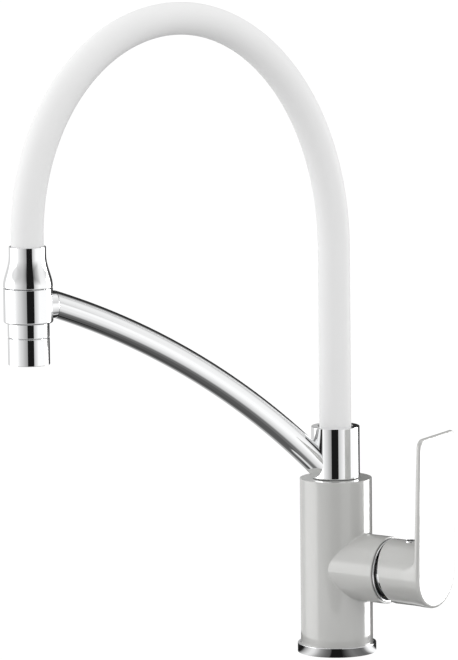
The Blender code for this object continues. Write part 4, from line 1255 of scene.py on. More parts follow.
@dataclass
class LeverHandle:
    """The lever: round hollow neck that runs into a flat paddle, with its stem, screw and plug."""

    neck_radius: float = 0.0222
    neck_wall: float = 0.0034
    rim_edge: float = 0.0005
    rim_bend: float = 0.00015
    rim_wall: float = 0.0020
    hollow_depth: float = 0.0150
    hollow_round: float = 0.0020
    crown_start: float = 84.0
    crown_steps: int = 10
    round_steps: int = 5
    rim_reach: float = 0.0502
    rim_tilt: float = math.radians(9)
    neck_shares: Sequence[float] = (0.25, 0.5, 0.75)
    flare_start: float = 0.0680
    front_reach: float = 0.0854
    lean: float = math.radians(1)
    half_width: float = 0.0213
    foot_radius: float = 0.0226
    top: float = 0.0979
    top_slant: float = math.radians(3)
    corner_radius: float = 0.0045
    thickness: float = 0.0036
    taper: float = math.radians(0.6)
    edge: float = 0.0017
    edge_turns: Sequence[float] = (0, 30, 60, 90)
    fillet: float = 0.0030
    fillet_steps: int = 12
    back_shares: Sequence[float] = (0.35, 0.7)
    front_shares: Sequence[float] = (0.98, 0.6, 0.3)
    flush_room: float = 0.0006
    filleted_room: float = 0.0042
    stem_half_width: float = 0.0038
    stem_reach: float = 0.0280
    screw_reach: float = 0.0632
    screw_radius: float = 0.0024
    plug_radius: float = 0.0047
    plug_thickness: float = 0.0026
    plug_proud: float = 0.0004
    plug_edge: float = 0.0005
    plug_sides: int = 64
    recess_edge: float = 0.0002
    recess_floor_round: float = 0.0003
    recess_radius: float = 0.0039
    floor_sheet: float = 0.0002
    recess_depth: float = 0.0012
    side_points: int = 26
    top_points: int = 16
    corner_points: int = 8
    foot_points: int = 72

    def build(self) -> None:
        """Makes the lever and its plug, and dresses stem and screw."""
        dress(self._lever(), LACQUER, Body.LEVER, ["handle"])
        dress(self._plug(), CHROME, Body.LEVER, ["screw_plug"])
        # Near-black disc in the plug's recess: painted shade
        dress(self._plug_shade_disc(), SEAL_RUBBER, Body.LEVER)
        dress_nodes(BOSS_BRASS, ["lever_stem"])
        dress_nodes(STEEL, ["handle_screw"])

    def _outline(self) -> list[Point2]:
        """The paddle's outline: round foot, straight sides, rounded top corners."""
        slant = self.half_width * math.tan(self.top_slant)
        foot = arc((0, 0), self.foot_radius, 180, 360, self.foot_points)
        right = Vector((self.half_width, self.top + slant))
        left = Vector((-self.half_width, self.top - slant))
        points = list(foot)
        stations = ((foot[-1], right, left), (right, left, foot[0]))
        previous = Vector(foot[-1])
        for before, corner, after in stations:
            into = (Vector(before) - corner).normalized()
            away = (Vector(after) - corner).normalized()
            half = into.angle(away) / 2
            centre = corner + (into + away).normalized() * self.corner_radius / math.sin(half)
            start, end = (corner + way * self.corner_radius / math.tan(half) for way in (into, away))
            angle = math.atan2(start.y - centre.y, start.x - centre.x)
            last = angle - (start - centre).angle_signed(end - centre)
            on_side = previous.x > 0 and previous.y < self.top / 2
            points += between(previous, start, self.side_points if on_side else self.top_points)
            ends = math.degrees(angle), math.degrees(last)
            points += arc(centre, self.corner_radius, *ends, self.corner_points)
            previous = Vector(points[-1])
        return points + between(previous, Vector(foot[0]), self.side_points)

    def _front(self, y: float) -> float:
        """Height of the paddle's front face above the pivot, at a height up the paddle."""
        return self.front_reach - PIVOT_REACH + (y - self.top) * math.tan(self.lean)

    def _back(self, y: float) -> float:
        """Height of the paddle's back face above the pivot."""
        return self._front(y) - self.thickness + (y - self.top / 2) * math.tan(self.taper)

    def _rim(self, y: float) -> float:
        """Height of the neck's tilted rim above the pivot."""
        return self.rim_reach - PIVOT_REACH - y * math.tan(self.rim_tilt)

    def _lever(self) -> Object:
        """The lever's skin as rings about the boss's axis, then its socket and holes, with painted shade in
        its hollow.
        """
        outline = self._outline()
        sides = [Vector(point).normalized() for point in outline]
        rings = [*self._cavity(sides), *self._neck(sides, outline), *self._paddle(outline)]
        solid = bmesh.new()
        add_rings(solid, rings)
        axis = Axis.boss(PIVOT_REACH)
        solid.transform(axis.matrix())
        lever = new_object("lever_handle", mesh_from("lever_handle", solid))
        half = self.stem_half_width + SEAT_GAP
        socket = box_piece(
            "stem_socket",
            Vector((-half, -half, self.hollow_depth / 2)),
            Vector((half, half, self.stem_reach + SEAT_GAP)),
            axis.matrix(),
        )
        lever = shaped(lever, [socket, self._plug_seat()])
        # The neck's hollow gets painted shade on its unpainted casting
        return bared_and_shaded(lever, axis, self.neck_radius - self.rim_wall, self.neck_radius)

    def _cavity(self, sides: Sequence[Vector]) -> Rings:
        """Rings of the hollow: a crown, a shoulder, and a straight wall down to the tilted rim.

        Args:
            sides: Directions of the rings' points.

        Returns:
            The rings.
        """
        crown, wall = self.neck_radius - self.neck_wall, self.neck_radius - self.rim_wall
        low = math.degrees(math.asin(self.hollow_depth / crown))
        bend = (wall - self.hollow_round, self.hollow_depth - self.hollow_round)
        outline = [
            *arc((0, 0), crown, self.crown_start, low, self.crown_steps),
            *arc(bend, self.hollow_round, 90, 0, self.round_steps),
        ]
        rings = [[Vector((0, 0, crown))]]
        rings += [[spoke(side, across, up) for side in sides] for across, up in outline]
        rings.append([spoke(side, wall, self._rim(side.y * wall)) for side in sides])
        return rings

    def _neck(self, sides: Sequence[Vector], outline: Sequence[Point2]) -> Rings:
        """Rings up the outside of the neck, onto the paddle's back and round to its front edge.

        Args:
            sides: Directions of the rings' points.
            outline: The paddle's outline, in the same order.

        Returns:
            The rings.
        """
        edge, bend = self.rim_edge, self.rim_bend
        steps = ((self.rim_wall - edge, 0), (edge, 0), (bend, bend), (0, edge), (0, edge * 2))
        rings = []
        for inset, rise in steps:
            radius = self.neck_radius - inset
            rings.append([spoke(side, radius, self._rim(side.y * radius) + rise) for side in sides])
        shoulders = [self._shoulder(side, Vector(point).length) for side, point in zip(sides, outline)]
        feet = [point.z for point in rings[-1]]
        for share in self.neck_shares:
            rings.append([
                spoke(side, self.neck_radius, foot + (points[0].y - foot) * share)
                for side, points, foot in zip(sides, shoulders, feet)
            ])
        for points in zip(*shoulders):
            rings.append([spoke(side, *point) for side, point in zip(sides, points)])
        return rings

    def _shoulder(self, side: Vector, reach: float) -> list[Vector]:
        """Points from the neck to the middle of the paddle's thickness, in one direction.

        Where the paddle reaches well past the neck, they follow a fillet, the paddle's back and its
        rounded edge. Where it ends flush with the neck, they run straight into it.

        Args:
            side: Unit direction from the boss's axis.
            reach: Distance from the axis to the paddle's outline that way.

        Returns:
            The points, as distance from the axis and height above the pivot.
        """
        room = reach - self.neck_radius
        fillet = max(min(self.fillet, room - self.edge), 0)
        inner, outer = self.neck_radius + fillet, reach - self.edge
        root = self._back(inner * side.y) - fillet
        bend = arc((inner, root), fillet, 180, 90, self.fillet_steps)
        filleted = [Vector(point) for point in bend]
        for share in self.back_shares:
            across = inner + (outer - inner) * share
            filleted.append(Vector((across, self._back(across * side.y))))
        for degrees in self.edge_turns:
            turn = math.radians(degrees)
            across, depth = outer + self.edge * math.sin(turn), self.edge * (1 - math.cos(turn))
            filleted.append(Vector((across, self._back(across * side.y) + depth)))
        low, high = self.flare_start - PIVOT_REACH, self._back(reach * side.y) + self.edge
        flush = []
        for step in range(len(filleted)):
            share = step / (len(filleted) - 1)
            flush.append(Vector((self.neck_radius + room * eased(share), low + (high - low) * share)))
        share = (room - self.flush_room) / (self.filleted_room - self.flush_room)
        weight = eased(max(0, min(1, share)))
        return [plain.lerp(bent, weight) for plain, bent in zip(flush, filleted)]

    def _paddle(self, outline: Sequence[Point2]) -> Rings:
        """Rings round the paddle's front edge and over its front.

        Args:
            outline: The paddle's outline.

        Returns:
            The rings.
        """
        rings = []
        for degrees in reversed(self.edge_turns):
            turn = math.radians(degrees)
            inset, depth = self.edge * (1 - math.sin(turn)), self.edge * (1 - math.cos(turn))
            rings.append(self._front_ring(outline, inset, depth))
        rings += [self._front_ring(outline, self.edge, share=share) for share in self.front_shares]
        rings.append([Vector((0, 0, self._front(0)))])
        return rings

    def _front_ring(
        self, outline: Sequence[Point2], inset: float, depth: float = 0.0, share: float = 1.0
    ) -> list[Vector]:
        """A ring of the paddle's front or of its rounded edge.

        Args:
            outline: The paddle's outline.
            inset: Distance inside the outline.
            depth: Distance behind the front face.
            share: What the ring is shrunk to, about the boss's axis.

        Returns:
            The ring.
        """
        ring = []
        for x, y in outline:
            point = Vector((x, y))
            at = point.normalized() * ((point.length - inset) * share)
            ring.append(Vector((at.x, at.y, self._front(at.y) - depth)))
        return ring

    def _screw_axis(self) -> Axis:
        """Upright axis through the fixing screw."""
        origin = Vector((0, 0, BOSS_HEIGHT)) + BOSS_DIRECTION * self.screw_reach
        return Axis(origin, Vector((0, 0, 1)), BOSS_DIRECTION.copy())

    def _plug_seat(self) -> Object:
        """Cutter for the screw's hole and the seat of its plug."""
        hole = self.screw_radius + SEAT_GAP
        seat = self.plug_radius + SEAT_GAP / 2
        floor = self.neck_radius + self.plug_proud - self.plug_thickness - SEAT_GAP
        high = self.neck_radius + OVERRUN
        outline = [(0, high), (seat, high), (seat, floor), (hole, floor), (hole, 0), (0, 0)]
        return lathe("plug_seat", outline, self._screw_axis(), SMALL_LATHE_SIDES)

    def _plug(self) -> Object:
        """Round plug with a steep recess inside a narrow rim."""
        top = self.neck_radius + self.plug_proud
        floor, foot = top - self.recess_depth, top - self.plug_thickness
        corners = [
            (0, floor, 0),
            (self.recess_radius, floor, self.recess_floor_round),
            (self.recess_radius, top, self.recess_edge),
            (self.plug_radius, top, self.plug_edge),
            (self.plug_radius, foot, 0),
            (0, foot, 0),
        ]
        return lathe("plug_cap", rounded(corners, closed=False), self._screw_axis(), self.plug_sides)

    def _plug_shade_disc(self) -> Object:
        """Near-black disc on the recess's floor: painted shade in the recess."""
        floor = self.neck_radius + self.plug_proud - self.recess_depth
        sheet = self.floor_sheet
        outline = tube_outline(0, self.recess_radius - sheet, floor - sheet, floor + sheet)
        return lathe("plug_shade_disc", outline, self._screw_axis(), self.plug_sides)


@dataclass
class Swivel:
    """Chrome collar on the fixed spigot, with the swivel's seals, washer and clip."""

    pocket: float = 0.0115
    bore: float = 0.0095
    recess: float = 0.0153
    recess_height: float = 0.0008
    shelf: float = 0.0176
    top_edge: float = 0.0006
    foot_edge: float = 0.0005
    recess_edge: float = 0.0002

    def build(self) -> None:
        """Makes the collar and dresses what it hides."""
        dress(self._collar(), CHROME, Body.SPOUT, ["swivel_collar"])
        dress_nodes(BRASS, ["swivel_spigot", "collar_nipple"])
        dress_nodes(SEAL_RUBBER, ["lower_spigot_seal", "upper_spigot_seal"])
        dress_nodes(WHITE_PLASTIC, ["thrust_washer"])
        dress_nodes(STEEL, ["spigot_clip"])

    def _collar(self) -> Object:
        """Collar with its bore, shelf and the hose's pocket."""
        at = Turned.of("swivel_collar")
        corners = [
            (at.radius, at.top, self.top_edge),
            (at.radius, at.foot, self.foot_edge),
            (self.recess, at.foot, self.recess_edge),
            (self.recess, at.foot + self.recess_height, 0),
            (self.bore, at.foot + self.recess_height, 0),
            (self.bore, at.foot + self.shelf, 0),
            (self.pocket, at.foot + self.shelf, 0),
            (self.pocket, at.top, self.top_edge),
        ]
        return lathe("collar", rounded(corners, closed=True), Axis.upright())


@dataclass
class HolderArm:
    """Curved chrome arm, the ring that holds the head, and the ring's liner."""

    tube: PieceTree
    radius: float = 0.0090
    wall: float = 0.0015
    bend_radius: float = 0.5340
    foot_height: float = 0.1188
    tip_rise: float = 0.0177
    steps: int = 96
    sides: int = 64
    collar_radius: float = 0.0168
    lug_root: float = 0.0098
    lug_end: float = 0.0093
    lug_reach: float = 0.0024
    lug_edge: float = 0.0004
    lug_sides: int = 96
    ring_wall: float = 0.0012
    ring_edge: float = 0.0004
    ring_edge_room: float = 0.0006
    ring_edge_steps: int = 5
    lip: float = 0.0145
    lip_thickness: float = 0.0010
    foot_round: float = 0.0016
    liner_thickness: float = 0.0008
    liner_rounds: Rounds = (0.0002, 0.0002, 0.0002, 0.0003)
    ring: Turned = field(init=False)
    spout: float = field(init=False)

    def __post_init__(self) -> None:
        """Reads the ring's place."""
        low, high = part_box("holder_ring")
        self.spout = Turned.of("head_barrel").x
        self.ring = Turned(self.spout, self.spout - low[0], low[2], high[2])

    def build(self) -> None:
        """Makes and dresses the three pieces."""
        dress(self._arm(), CHROME, Body.SPOUT, ["holder_arm"])
        dress(self._holder(), CHROME, Body.SPOUT, ["holder_ring"])
        dress(self._liner(), GREY_PLASTIC, Body.SPOUT, ["ring_liner"])

    def _route(self) -> list[Point2]:
        """A circular arc through the places where the arm meets both axes."""
        foot = Vector((0, self.foot_height))
        tip = Vector((self.spout, self.ring.foot + self.tip_rise))
        chord = tip - foot
        drop = math.sqrt(self.bend_radius**2 - (chord.length / 2) ** 2)
        below = Vector((-chord.y, chord.x)).normalized()
        if below.y > 0:
            below = -below
        centre = (foot + tip) / 2 + below * drop
        start, end = (math.degrees(math.atan2(p.y - centre.y, p.x - centre.x)) for p in (foot, tip))
        return arc(centre, self.bend_radius, start, end, self.steps)

    def _lug_face(self) -> float:
        """X of the flat face where lug and arm meet."""
        return self.spout + self.ring.radius + self.lug_reach

    def _lug_height(self) -> float:
        """Height of the arm's line at the lug's face."""
        return min(self._route(), key=lambda point: abs(point[0] - self._lug_face()))[1]

    def _arm(self) -> Object:
        """The arm, cut round to fit the collar and flat to fit the lug."""
        values = {"Radius": self.radius, "Sides": self.sides}
        route = route_mesh("arm_route", self._route())
        arm = walled(self.tube.grow("curved_arm", route, values, CHROME), self.wall)
        sleeve = tube_outline(0, self.collar_radius - WELD, 0, self.ring.top)
        past = self.collar_radius
        face = box_piece(
            "lug_face",
            Vector((self.spout - past, -past, self.ring.foot - past)),
            Vector((self._lug_face() + SEAT_GAP / 2, past, self.ring.top + past)),
        )
        return shaped(arm, [lathe("collar_side", sleeve, Axis.upright()), face])

    def _holder(self) -> Object:
        """Ring with its lug and lip."""
        at, edge, room = self.ring, self.ring_edge, self.ring_edge_room
        foot = [(at.radius, at.top, 0), (at.radius, at.foot, self.foot_round), (0, at.foot, 0)]
        outline = [
            (0, at.top),
            (at.radius - room, at.top),
            *arc((at.radius - edge, at.top - edge), edge, 90, 0, self.ring_edge_steps),
            (at.radius, at.top - room),
            *rounded(foot, closed=False)[1:],
        ]
        ring = lathe("head_holder", outline, Axis.upright(self.spout))
        bore = at.radius - self.ring_wall
        start, end = bore - self.lug_reach, at.radius + self.lug_reach
        lug = [(0, end, 0), (self.lug_end, end, self.lug_edge), (self.lug_root, start, 0), (0, start, 0)]
        lug_axis = Axis(Vector((self.spout, 0, self._lug_height())), Vector((1, 0, 0)), Vector((0, 1, 0)))
        shaped(ring, [lathe("lug", rounded(lug, closed=False), lug_axis, self.lug_sides)], Cut.JOIN)
        high, low = at.top + OVERRUN, at.foot - OVERRUN
        floor = at.foot + self.lip_thickness
        hollow = [(0, high), (bore, high), (bore, floor), (self.lip, floor), (self.lip, low), (0, low)]
        return shaped(ring, [lathe("ring_hollow", hollow, Axis.upright(self.spout))])

    def _liner(self) -> Object:
        """Thin plastic sleeve inside the ring."""
        outer = self.ring.radius - self.ring_wall - SEAT_GAP
        inner = outer - self.liner_thickness
        low, high = self.ring.foot + self.lip_thickness + SEAT_GAP, self.ring.top - SEAT_GAP
        outline = rounded_tube(inner, outer, low, high, self.liner_rounds)
        return lathe("holder_liner", outline, Axis.upright(self.spout))


@dataclass
class SpoutHose:
    """The flexible spout: silicone sleeve over the water hose. The real hose bends as the head lifts; here
    both keep one shape.
    """

    tube: PieceTree
    sleeve_radius: float = 0.0111
    core_radius: float = 0.0074
    core_wall: float = 0.0024
    reach: float = 0.2300
    rise_top: float = 0.2830
    apex_x: float = -0.11799
    apex_height: float = 0.4452
    fall_top: float = 0.3030
    quarter_steps: int = 56
    straight_step: float = 0.004
    cone_depth: float = 0.0127
    last_steps: int = 4
    sides: int = 72
    bend_from: Point2 = (-0.020, 0.300)
    bend_to: Point2 = (-0.222, 0.300)

    def build(self) -> None:
        """Makes and dresses sleeve and core."""
        wall = self.sleeve_radius - self.core_radius - SEAT_GAP
        parts = (
            ("spout_sleeve", "hose_sleeve", self.sleeve_radius, wall, SILICONE, self.sides),
            ("water_hose", "hose_core", self.core_radius, self.core_wall, HOSE_RUBBER, self.sides // 2),
        )
        for name, node, radius, thick, finish, sides in parts:
            low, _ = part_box(node)
            values = {"Radius": radius, "Sides": sides}
            base = route_mesh(name + "_route", self._route(low[2]))
            piece = walled(self.tube.grow(name, base, values, finish), thick)
            piece.data.materials.clear()
            piece.data.materials.append(finish.material())
            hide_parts(node)
            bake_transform(piece)
            LOG.info("%s: %d faces, bends between spout and head", name, len(piece.data.polygons))

    def _route(self, foot: float) -> list[Point2]:
        """Upright from the collar, over in two quarters of ellipses, and down into the cone.

        Args:
            foot: Height at which the hose starts in the collar.

        Returns:
            Points in the XZ plane.
        """
        quarter = [math.pi / 2 * i / self.quarter_steps for i in range(self.quarter_steps + 1)]
        over = self.apex_x
        rise, fall = self.apex_height - self.rise_top, self.apex_height - self.fall_top
        up = [(over - over * math.cos(a), self.rise_top + rise * math.sin(a)) for a in quarter]
        out = self.reach + over
        down = [(over - out * math.sin(a), self.fall_top + fall * math.cos(a)) for a in quarter]
        count = round((self.rise_top - foot) / self.straight_step)
        straight = [(0.0, foot + (self.rise_top - foot) * i / count) for i in range(count)]
        drop = Turned.of("hose_cone").top - self.cone_depth - self.fall_top
        steps = range(1, self.last_steps + 1)
        last = [(-self.reach, self.fall_top + drop * i / self.last_steps) for i in steps]
        return [*straight, *up, *down[1:], *last]


@dataclass
class SprayHead:
    """The pull-up head: bell cone, barrel, turning outlet sleeve, spray face and aerator."""

    mouth_radius: float = 0.0125
    bell_top: float = 0.0225
    bell_power: float = 1.15
    bell_steps: int = 36
    skirt: float = 0.0012
    foot_edge: float = 0.0008
    pocket: float = 0.0115
    pocket_depth: float = 0.0130
    shelf_thickness: float = 0.0040
    shelf_radius: float = 0.0090
    thread_radius: float = 0.0125
    thread_length: float = 0.0065
    barrel_bore: float = 0.0090
    stem_radius: float = 0.0115
    stem_length: float = 0.0115
    seal_depth: float = 0.0012
    seal_half: float = 0.0009
    outlet_wall: float = 0.0012
    chamber_depth: float = 0.0061
    outlet_edge: float = 0.0004
    seam_edge: float = 0.0003
    stem_edge: float = 0.0002
    lip_steps: int = 10
    foot_steps: int = 5
    face_rounds: Rounds = (0, 0.0003, 0.0003, 0)
    nozzle_count: int = 10
    nozzle_circle: float = 0.0097
    nozzle_radius: float = 0.0007
    nozzle_rim: float = 0.00028
    nozzle_sides: int = 24
    rim_sides: int = 28
    bead_sides: int = 10
    start_share: float = 0.13
    aerator_radius: float = 0.0063
    cup_edge: float = 0.0002
    cup_wall: float = 0.0006
    cup_room: float = 0.0004
    cup_sides: int = 96
    screen_pitch: float = 0.00075
    screen_wire: float = 0.00011
    screen_inset: float = 0.0007
    wire_sides: int = 6
    screen_depth: float = 0.0005
    axis: Axis = field(init=False)

    def __post_init__(self) -> None:
        """Reads the head's axis."""
        self.axis = Axis.upright(Turned.of("head_barrel").x)

    def build(self) -> None:
        """Makes and dresses the head's pieces."""
        dress(self._cone(), CHROME, Body.HEAD, ["hose_cone"])
        dress(self._barrel(), CHROME, Body.HEAD, ["head_barrel"])
        dress(self._outlet_sleeve(), CHROME, Body.OUTLET, ["outlet_sleeve"])
        dress(self._spray_face(), GREY_PLASTIC, Body.OUTLET, ["spray_face"])
        dress(self._nozzle_rims(), GREY_PLASTIC, Body.OUTLET)
        dress(self._aerator_cup(), STEEL, Body.OUTLET, ["aerator"])
        dress(self._aerator_screen(), STEEL, Body.OUTLET)
        dress_nodes(BRASS, ["head_nipple"])
        dress_nodes(SEAL_RUBBER, ["sleeve_seal"])

    def _bell(self, top: float, foot: float, wide: float) -> list[Point2]:
        """The cone's flared side, an eased curve from its mouth to its skirt.

        Args:
            top: Height where it starts.
            foot: Height where it ends.
            wide: Radius where it ends.

        Returns:
            The points.
        """
        narrow = self.mouth_radius
        points = []
        for index in range(self.bell_steps + 1):
            share = index / self.bell_steps
            radius = narrow + (wide - narrow) * eased(share**self.bell_power)
            points.append((radius, top + (foot - top) * share))
        return points

    def _cone(self) -> Object:
        """Bell-shaped cone over the hose's end."""
        at = Turned.of("hose_cone")
        floor = at.top - self.pocket_depth
        shelf = floor - self.shelf_thickness
        thread = self.thread_radius + SEAT_GAP
        inner, outer = self.pocket, self.mouth_radius
        lip, edge = (outer - inner) / 2, self.foot_edge
        outline = [
            *arc((outer - lip, at.top - lip), lip, 180, 0, self.lip_steps),
            *self._bell(at.foot + self.bell_top, at.foot + self.skirt, at.radius),
            *arc((at.radius - edge, at.foot + edge), edge, 0, -90, self.foot_steps),
            (thread, at.foot),
            (thread, shelf),
            (self.shelf_radius, shelf),
            (self.shelf_radius, floor),
            (inner, floor),
        ]
        return lathe("bell_cone", outline, self.axis)

    def _barrel(self) -> Object:
        """Grip tube with its thread above and the outlet's stem below."""
        top = Turned.of("hose_cone").foot - SEAT_GAP
        foot = Turned.of("outlet_sleeve").top + SEAT_GAP
        radius = Turned.of("head_barrel").radius
        seal = foot - self.stem_length / 2
        ledge = self.stem_radius - self.seal_depth
        corners = [
            (self.thread_radius, top + self.thread_length, self.seam_edge),
            (self.thread_radius, top, 0),
            (radius, top, self.seam_edge),
            (radius, foot, self.foot_edge),
            (self.stem_radius, foot, 0),
            (self.stem_radius, seal + self.seal_half, 0),
            (ledge, seal + self.seal_half, 0),
            (ledge, seal - self.seal_half, 0),
            (self.stem_radius, seal - self.seal_half, 0),
            (self.stem_radius, foot - self.stem_length, self.seam_edge),
            (self.barrel_bore, foot - self.stem_length, 0),
            (self.barrel_bore, top + self.thread_length, 0),
        ]
        return lathe("grip_barrel", rounded(corners, closed=True), self.axis)

    def _outlet_sleeve(self) -> Object:
        """Turning sleeve round the outlet."""
        at = Turned.of("outlet_sleeve")
        chamber = at.radius - self.outlet_wall
        step = at.foot + self.chamber_depth
        stem = self.stem_radius + SEAT_GAP
        corners = [
            (at.radius, at.top, self.outlet_edge),
            (at.radius, at.foot, self.outlet_edge),
            (chamber, at.foot, self.seam_edge),
            (chamber, step, 0),
            (stem, step, 0),
            (stem, at.top, self.stem_edge),
        ]
        return lathe("turning_sleeve", rounded(corners, closed=True), self.axis)

    def _spray_face(self) -> Object:
        """Ring plate with its nozzle holes."""
        at = Turned.of("spray_face")
        inner = self.aerator_radius + SEAT_GAP
        outline = rounded_tube(inner, at.radius, at.foot, at.top, self.face_rounds)
        plate = lathe("nozzle_plate", outline, self.axis)
        cutters = bmesh.new()
        for x, y in self._nozzle_places():
            bmesh.ops.create_cone(
                cutters,
                cap_ends=True,
                segments=self.nozzle_sides,
                radius1=self.nozzle_radius,
                radius2=self.nozzle_radius,
                depth=at.top - at.foot + OVERRUN,
                matrix=Matrix.Translation((x, y, (at.foot + at.top) / 2)),
            )
        return shaped(plate, [new_object("nozzle_pins", mesh_from("nozzle_pins", cutters))])

    def _nozzle_places(self) -> list[Point2]:
        """Plan position of each nozzle."""
        count = self.nozzle_count
        turns = [360 * (i + self.start_share) / count for i in range(count + 1)]
        return arc((self.axis.origin.x, 0), self.nozzle_circle, turns[0], turns[-1], count)[:-1]

    def _nozzle_rims(self) -> Object:
        """A soft raised rim round each nozzle, placed by nodes on a ring of points."""
        values = {
            "Count": self.nozzle_count,
            "Circle": self.nozzle_circle,
            "Hole": self.nozzle_radius + self.nozzle_rim,
            "Rim": self.nozzle_rim,
            "Centre": (self.axis.origin.x, 0, Turned.of("spray_face").foot),
            "Start": 2 * math.pi * self.start_share / self.nozzle_count,
        }
        tree = PieceTree("nozzle_rims", values)
        points = tree.node(
            "GeometryNodeMeshCircle", {"Vertices": tree.input("Count"), "Radius": tree.input("Circle")}
        )
        loop, bead = (
            tree.node("GeometryNodeCurvePrimitiveCircle", {"Resolution": sides, "Radius": tree.input(name)})
            for sides, name in ((self.rim_sides, "Hole"), (self.bead_sides, "Rim"))
        )
        rim = tree.node(
            "GeometryNodeCurveToMesh", {"Curve": loop.outputs[0], "Profile Curve": bead.outputs[0]}
        )
        spread = tree.node(
            "GeometryNodeInstanceOnPoints", {"Points": points.outputs[0], "Instance": rim.outputs[0]}
        )
        turn = tree.node("ShaderNodeCombineXYZ", {2: tree.input("Start")})
        real = tree.node("GeometryNodeRealizeInstances", {"Geometry": spread.outputs[0]})
        moved = tree.node(
            "GeometryNodeTransform",
            {"Geometry": real.outputs[0], "Translation": tree.input("Centre"), "Rotation": turn.outputs[0]},
        )
        tree.finish(moved.outputs[0])
        rims = tree.grow("nozzle_rims", bpy.data.meshes.new("nozzle_rims"), values, GREY_PLASTIC)
        smooth(rims.data)
        return rims

    def _aerator_cup(self) -> Object:
        """The aerator's cup, open below, with its screen set a little inside."""
        at = Turned.of("aerator")
        outer, edge = self.aerator_radius, self.cup_edge
        inner, floor = outer - self.cup_wall, at.foot + self.screen_depth + self.cup_room
        mouth = [(outer, at.foot, edge), (inner, at.foot, edge)]
        side = [(outer, at.top, 0), *mouth, (inner, floor, 0), (0, floor, 0)]
        outline = [(0, at.top), (outer - 2 * edge, at.top), *rounded(side, closed=False)[1:]]
        return lathe("aerator_cup", outline, self.axis, self.cup_sides)

    def _aerator_screen(self) -> Object:
        """Square wire screen trimmed round, made by nodes from a grid."""
        across = 2 * self.aerator_radius
        values = {
            "Size": across,
            "Lines": round(across / self.screen_pitch) + 1,
            "Round": self.aerator_radius - self.screen_inset,
            "Wire": self.screen_wire,
            "Centre": (self.axis.origin.x, 0, Turned.of("aerator").foot + self.screen_depth),
        }
        tree = PieceTree("wire_screen", values)
        grid = tree.node(
            "GeometryNodeMeshGrid",
            {
                "Size X": tree.input("Size"),
                "Size Y": tree.input("Size"),
                "Vertices X": tree.input("Lines"),
                "Vertices Y": tree.input("Lines"),
            },
        )
        place = tree.node("GeometryNodeInputPosition")
        length = tree.node("ShaderNodeVectorMath", {0: place.outputs[0]}, {"operation": "LENGTH"})
        outside = tree.node(
            "ShaderNodeMath",
            {0: length.outputs["Value"], 1: tree.input("Round")},
            {"operation": "GREATER_THAN"},
        )
        trimmed = tree.node(
            "GeometryNodeDeleteGeometry",
            {"Geometry": grid.outputs[0], "Selection": outside.outputs[0]},
            {"domain": "POINT"},
        )
        lines = tree.node("GeometryNodeMeshToCurve", {"Mesh": trimmed.outputs[0]})
        bead = tree.node(
            "GeometryNodeCurvePrimitiveCircle",
            {"Resolution": self.wire_sides, "Radius": tree.input("Wire")},
        )
        wires = tree.node(
            "GeometryNodeCurveToMesh",
            {"Curve": lines.outputs[0], "Profile Curve": bead.outputs[0], "Fill Caps": True},
        )
        moved = tree.node(
            "GeometryNodeTransform", {"Geometry": wires.outputs[0], "Translation": tree.input("Centre")}
        )
        tree.finish(moved.outputs[0])
        return tree.grow("aerator_screen", bpy.data.meshes.new("aerator_screen"), values, STEEL)


# Levels that mirrors see, by degrees to the right of the camera
LOW_SURROUND = (
    (-180, 0.62), (-137, 0.68), (-124, 0.72), (-113, 0.82), (-103, 0.93), (-94, 1.0), (100, 1.0),
    (115, 0.90), (124, 0.72), (136, 0.60), (141, 0.05), (180, 0.03),
)
HIGH_SURROUND = (
    (-180, 0.10), (-150, 0.28), (-130, 0.50), (-106, 0.62), (-86, 0.70), (-73, 0.75), (-60, 0.66),
    (60, 0.66), (70, 0.82), (82, 0.88), (95, 0.86), (107, 0.62), (121, 0.48), (137, 0.34),
    (142, 0.04), (180, 0.02),
)
FLOOR_PATCHES = (
    (-180, 0.02), (-140, 0.01), (-128, 0.02), (-114.5, 0.38), (-99.5, 0.66), (-86.5, 0.84), (-75, 0.81),
    (-64, 0.60), (-53.5, 0.35), (-43.7, 0.24), (-34, 0.16), (-25, 0.115), (-20, 0.10), (-17, 0.01),
    (13, 0.01), (18, 0.03), (29, 0.096), (38.6, 0.16), (48.3, 0.19), (58, 0.16), (69, 0.15),
    (80, 0.135), (92, 0.20), (106, 0.76), (115, 1.05), (135, 1.05), (146, 0.47), (153, 0.04),
    (180, 0.02),
)
# Shares and fades by degrees above the horizon
UPPER_SHARE = ((-90, 0.0), (2, 0.0), (12, 0.45), (24, 1.0), (48, 1.0), (64, 0.0), (90, 0.0))
MIRROR_FADE = (
    (-90, 0.09), (-70, 0.10), (-64, 0.17), (-58, 0.13), (-50, 0.36), (-46, 0.62), (-36, 0.72),
    (-28, 0.82), (-13, 1.0), (90, 1.0),
)
PLAIN_FADE = ((-90, 0.55), (-30, 0.80), (0, 1.0), (35, 1.0), (60, 0.80), (90, 0.65))
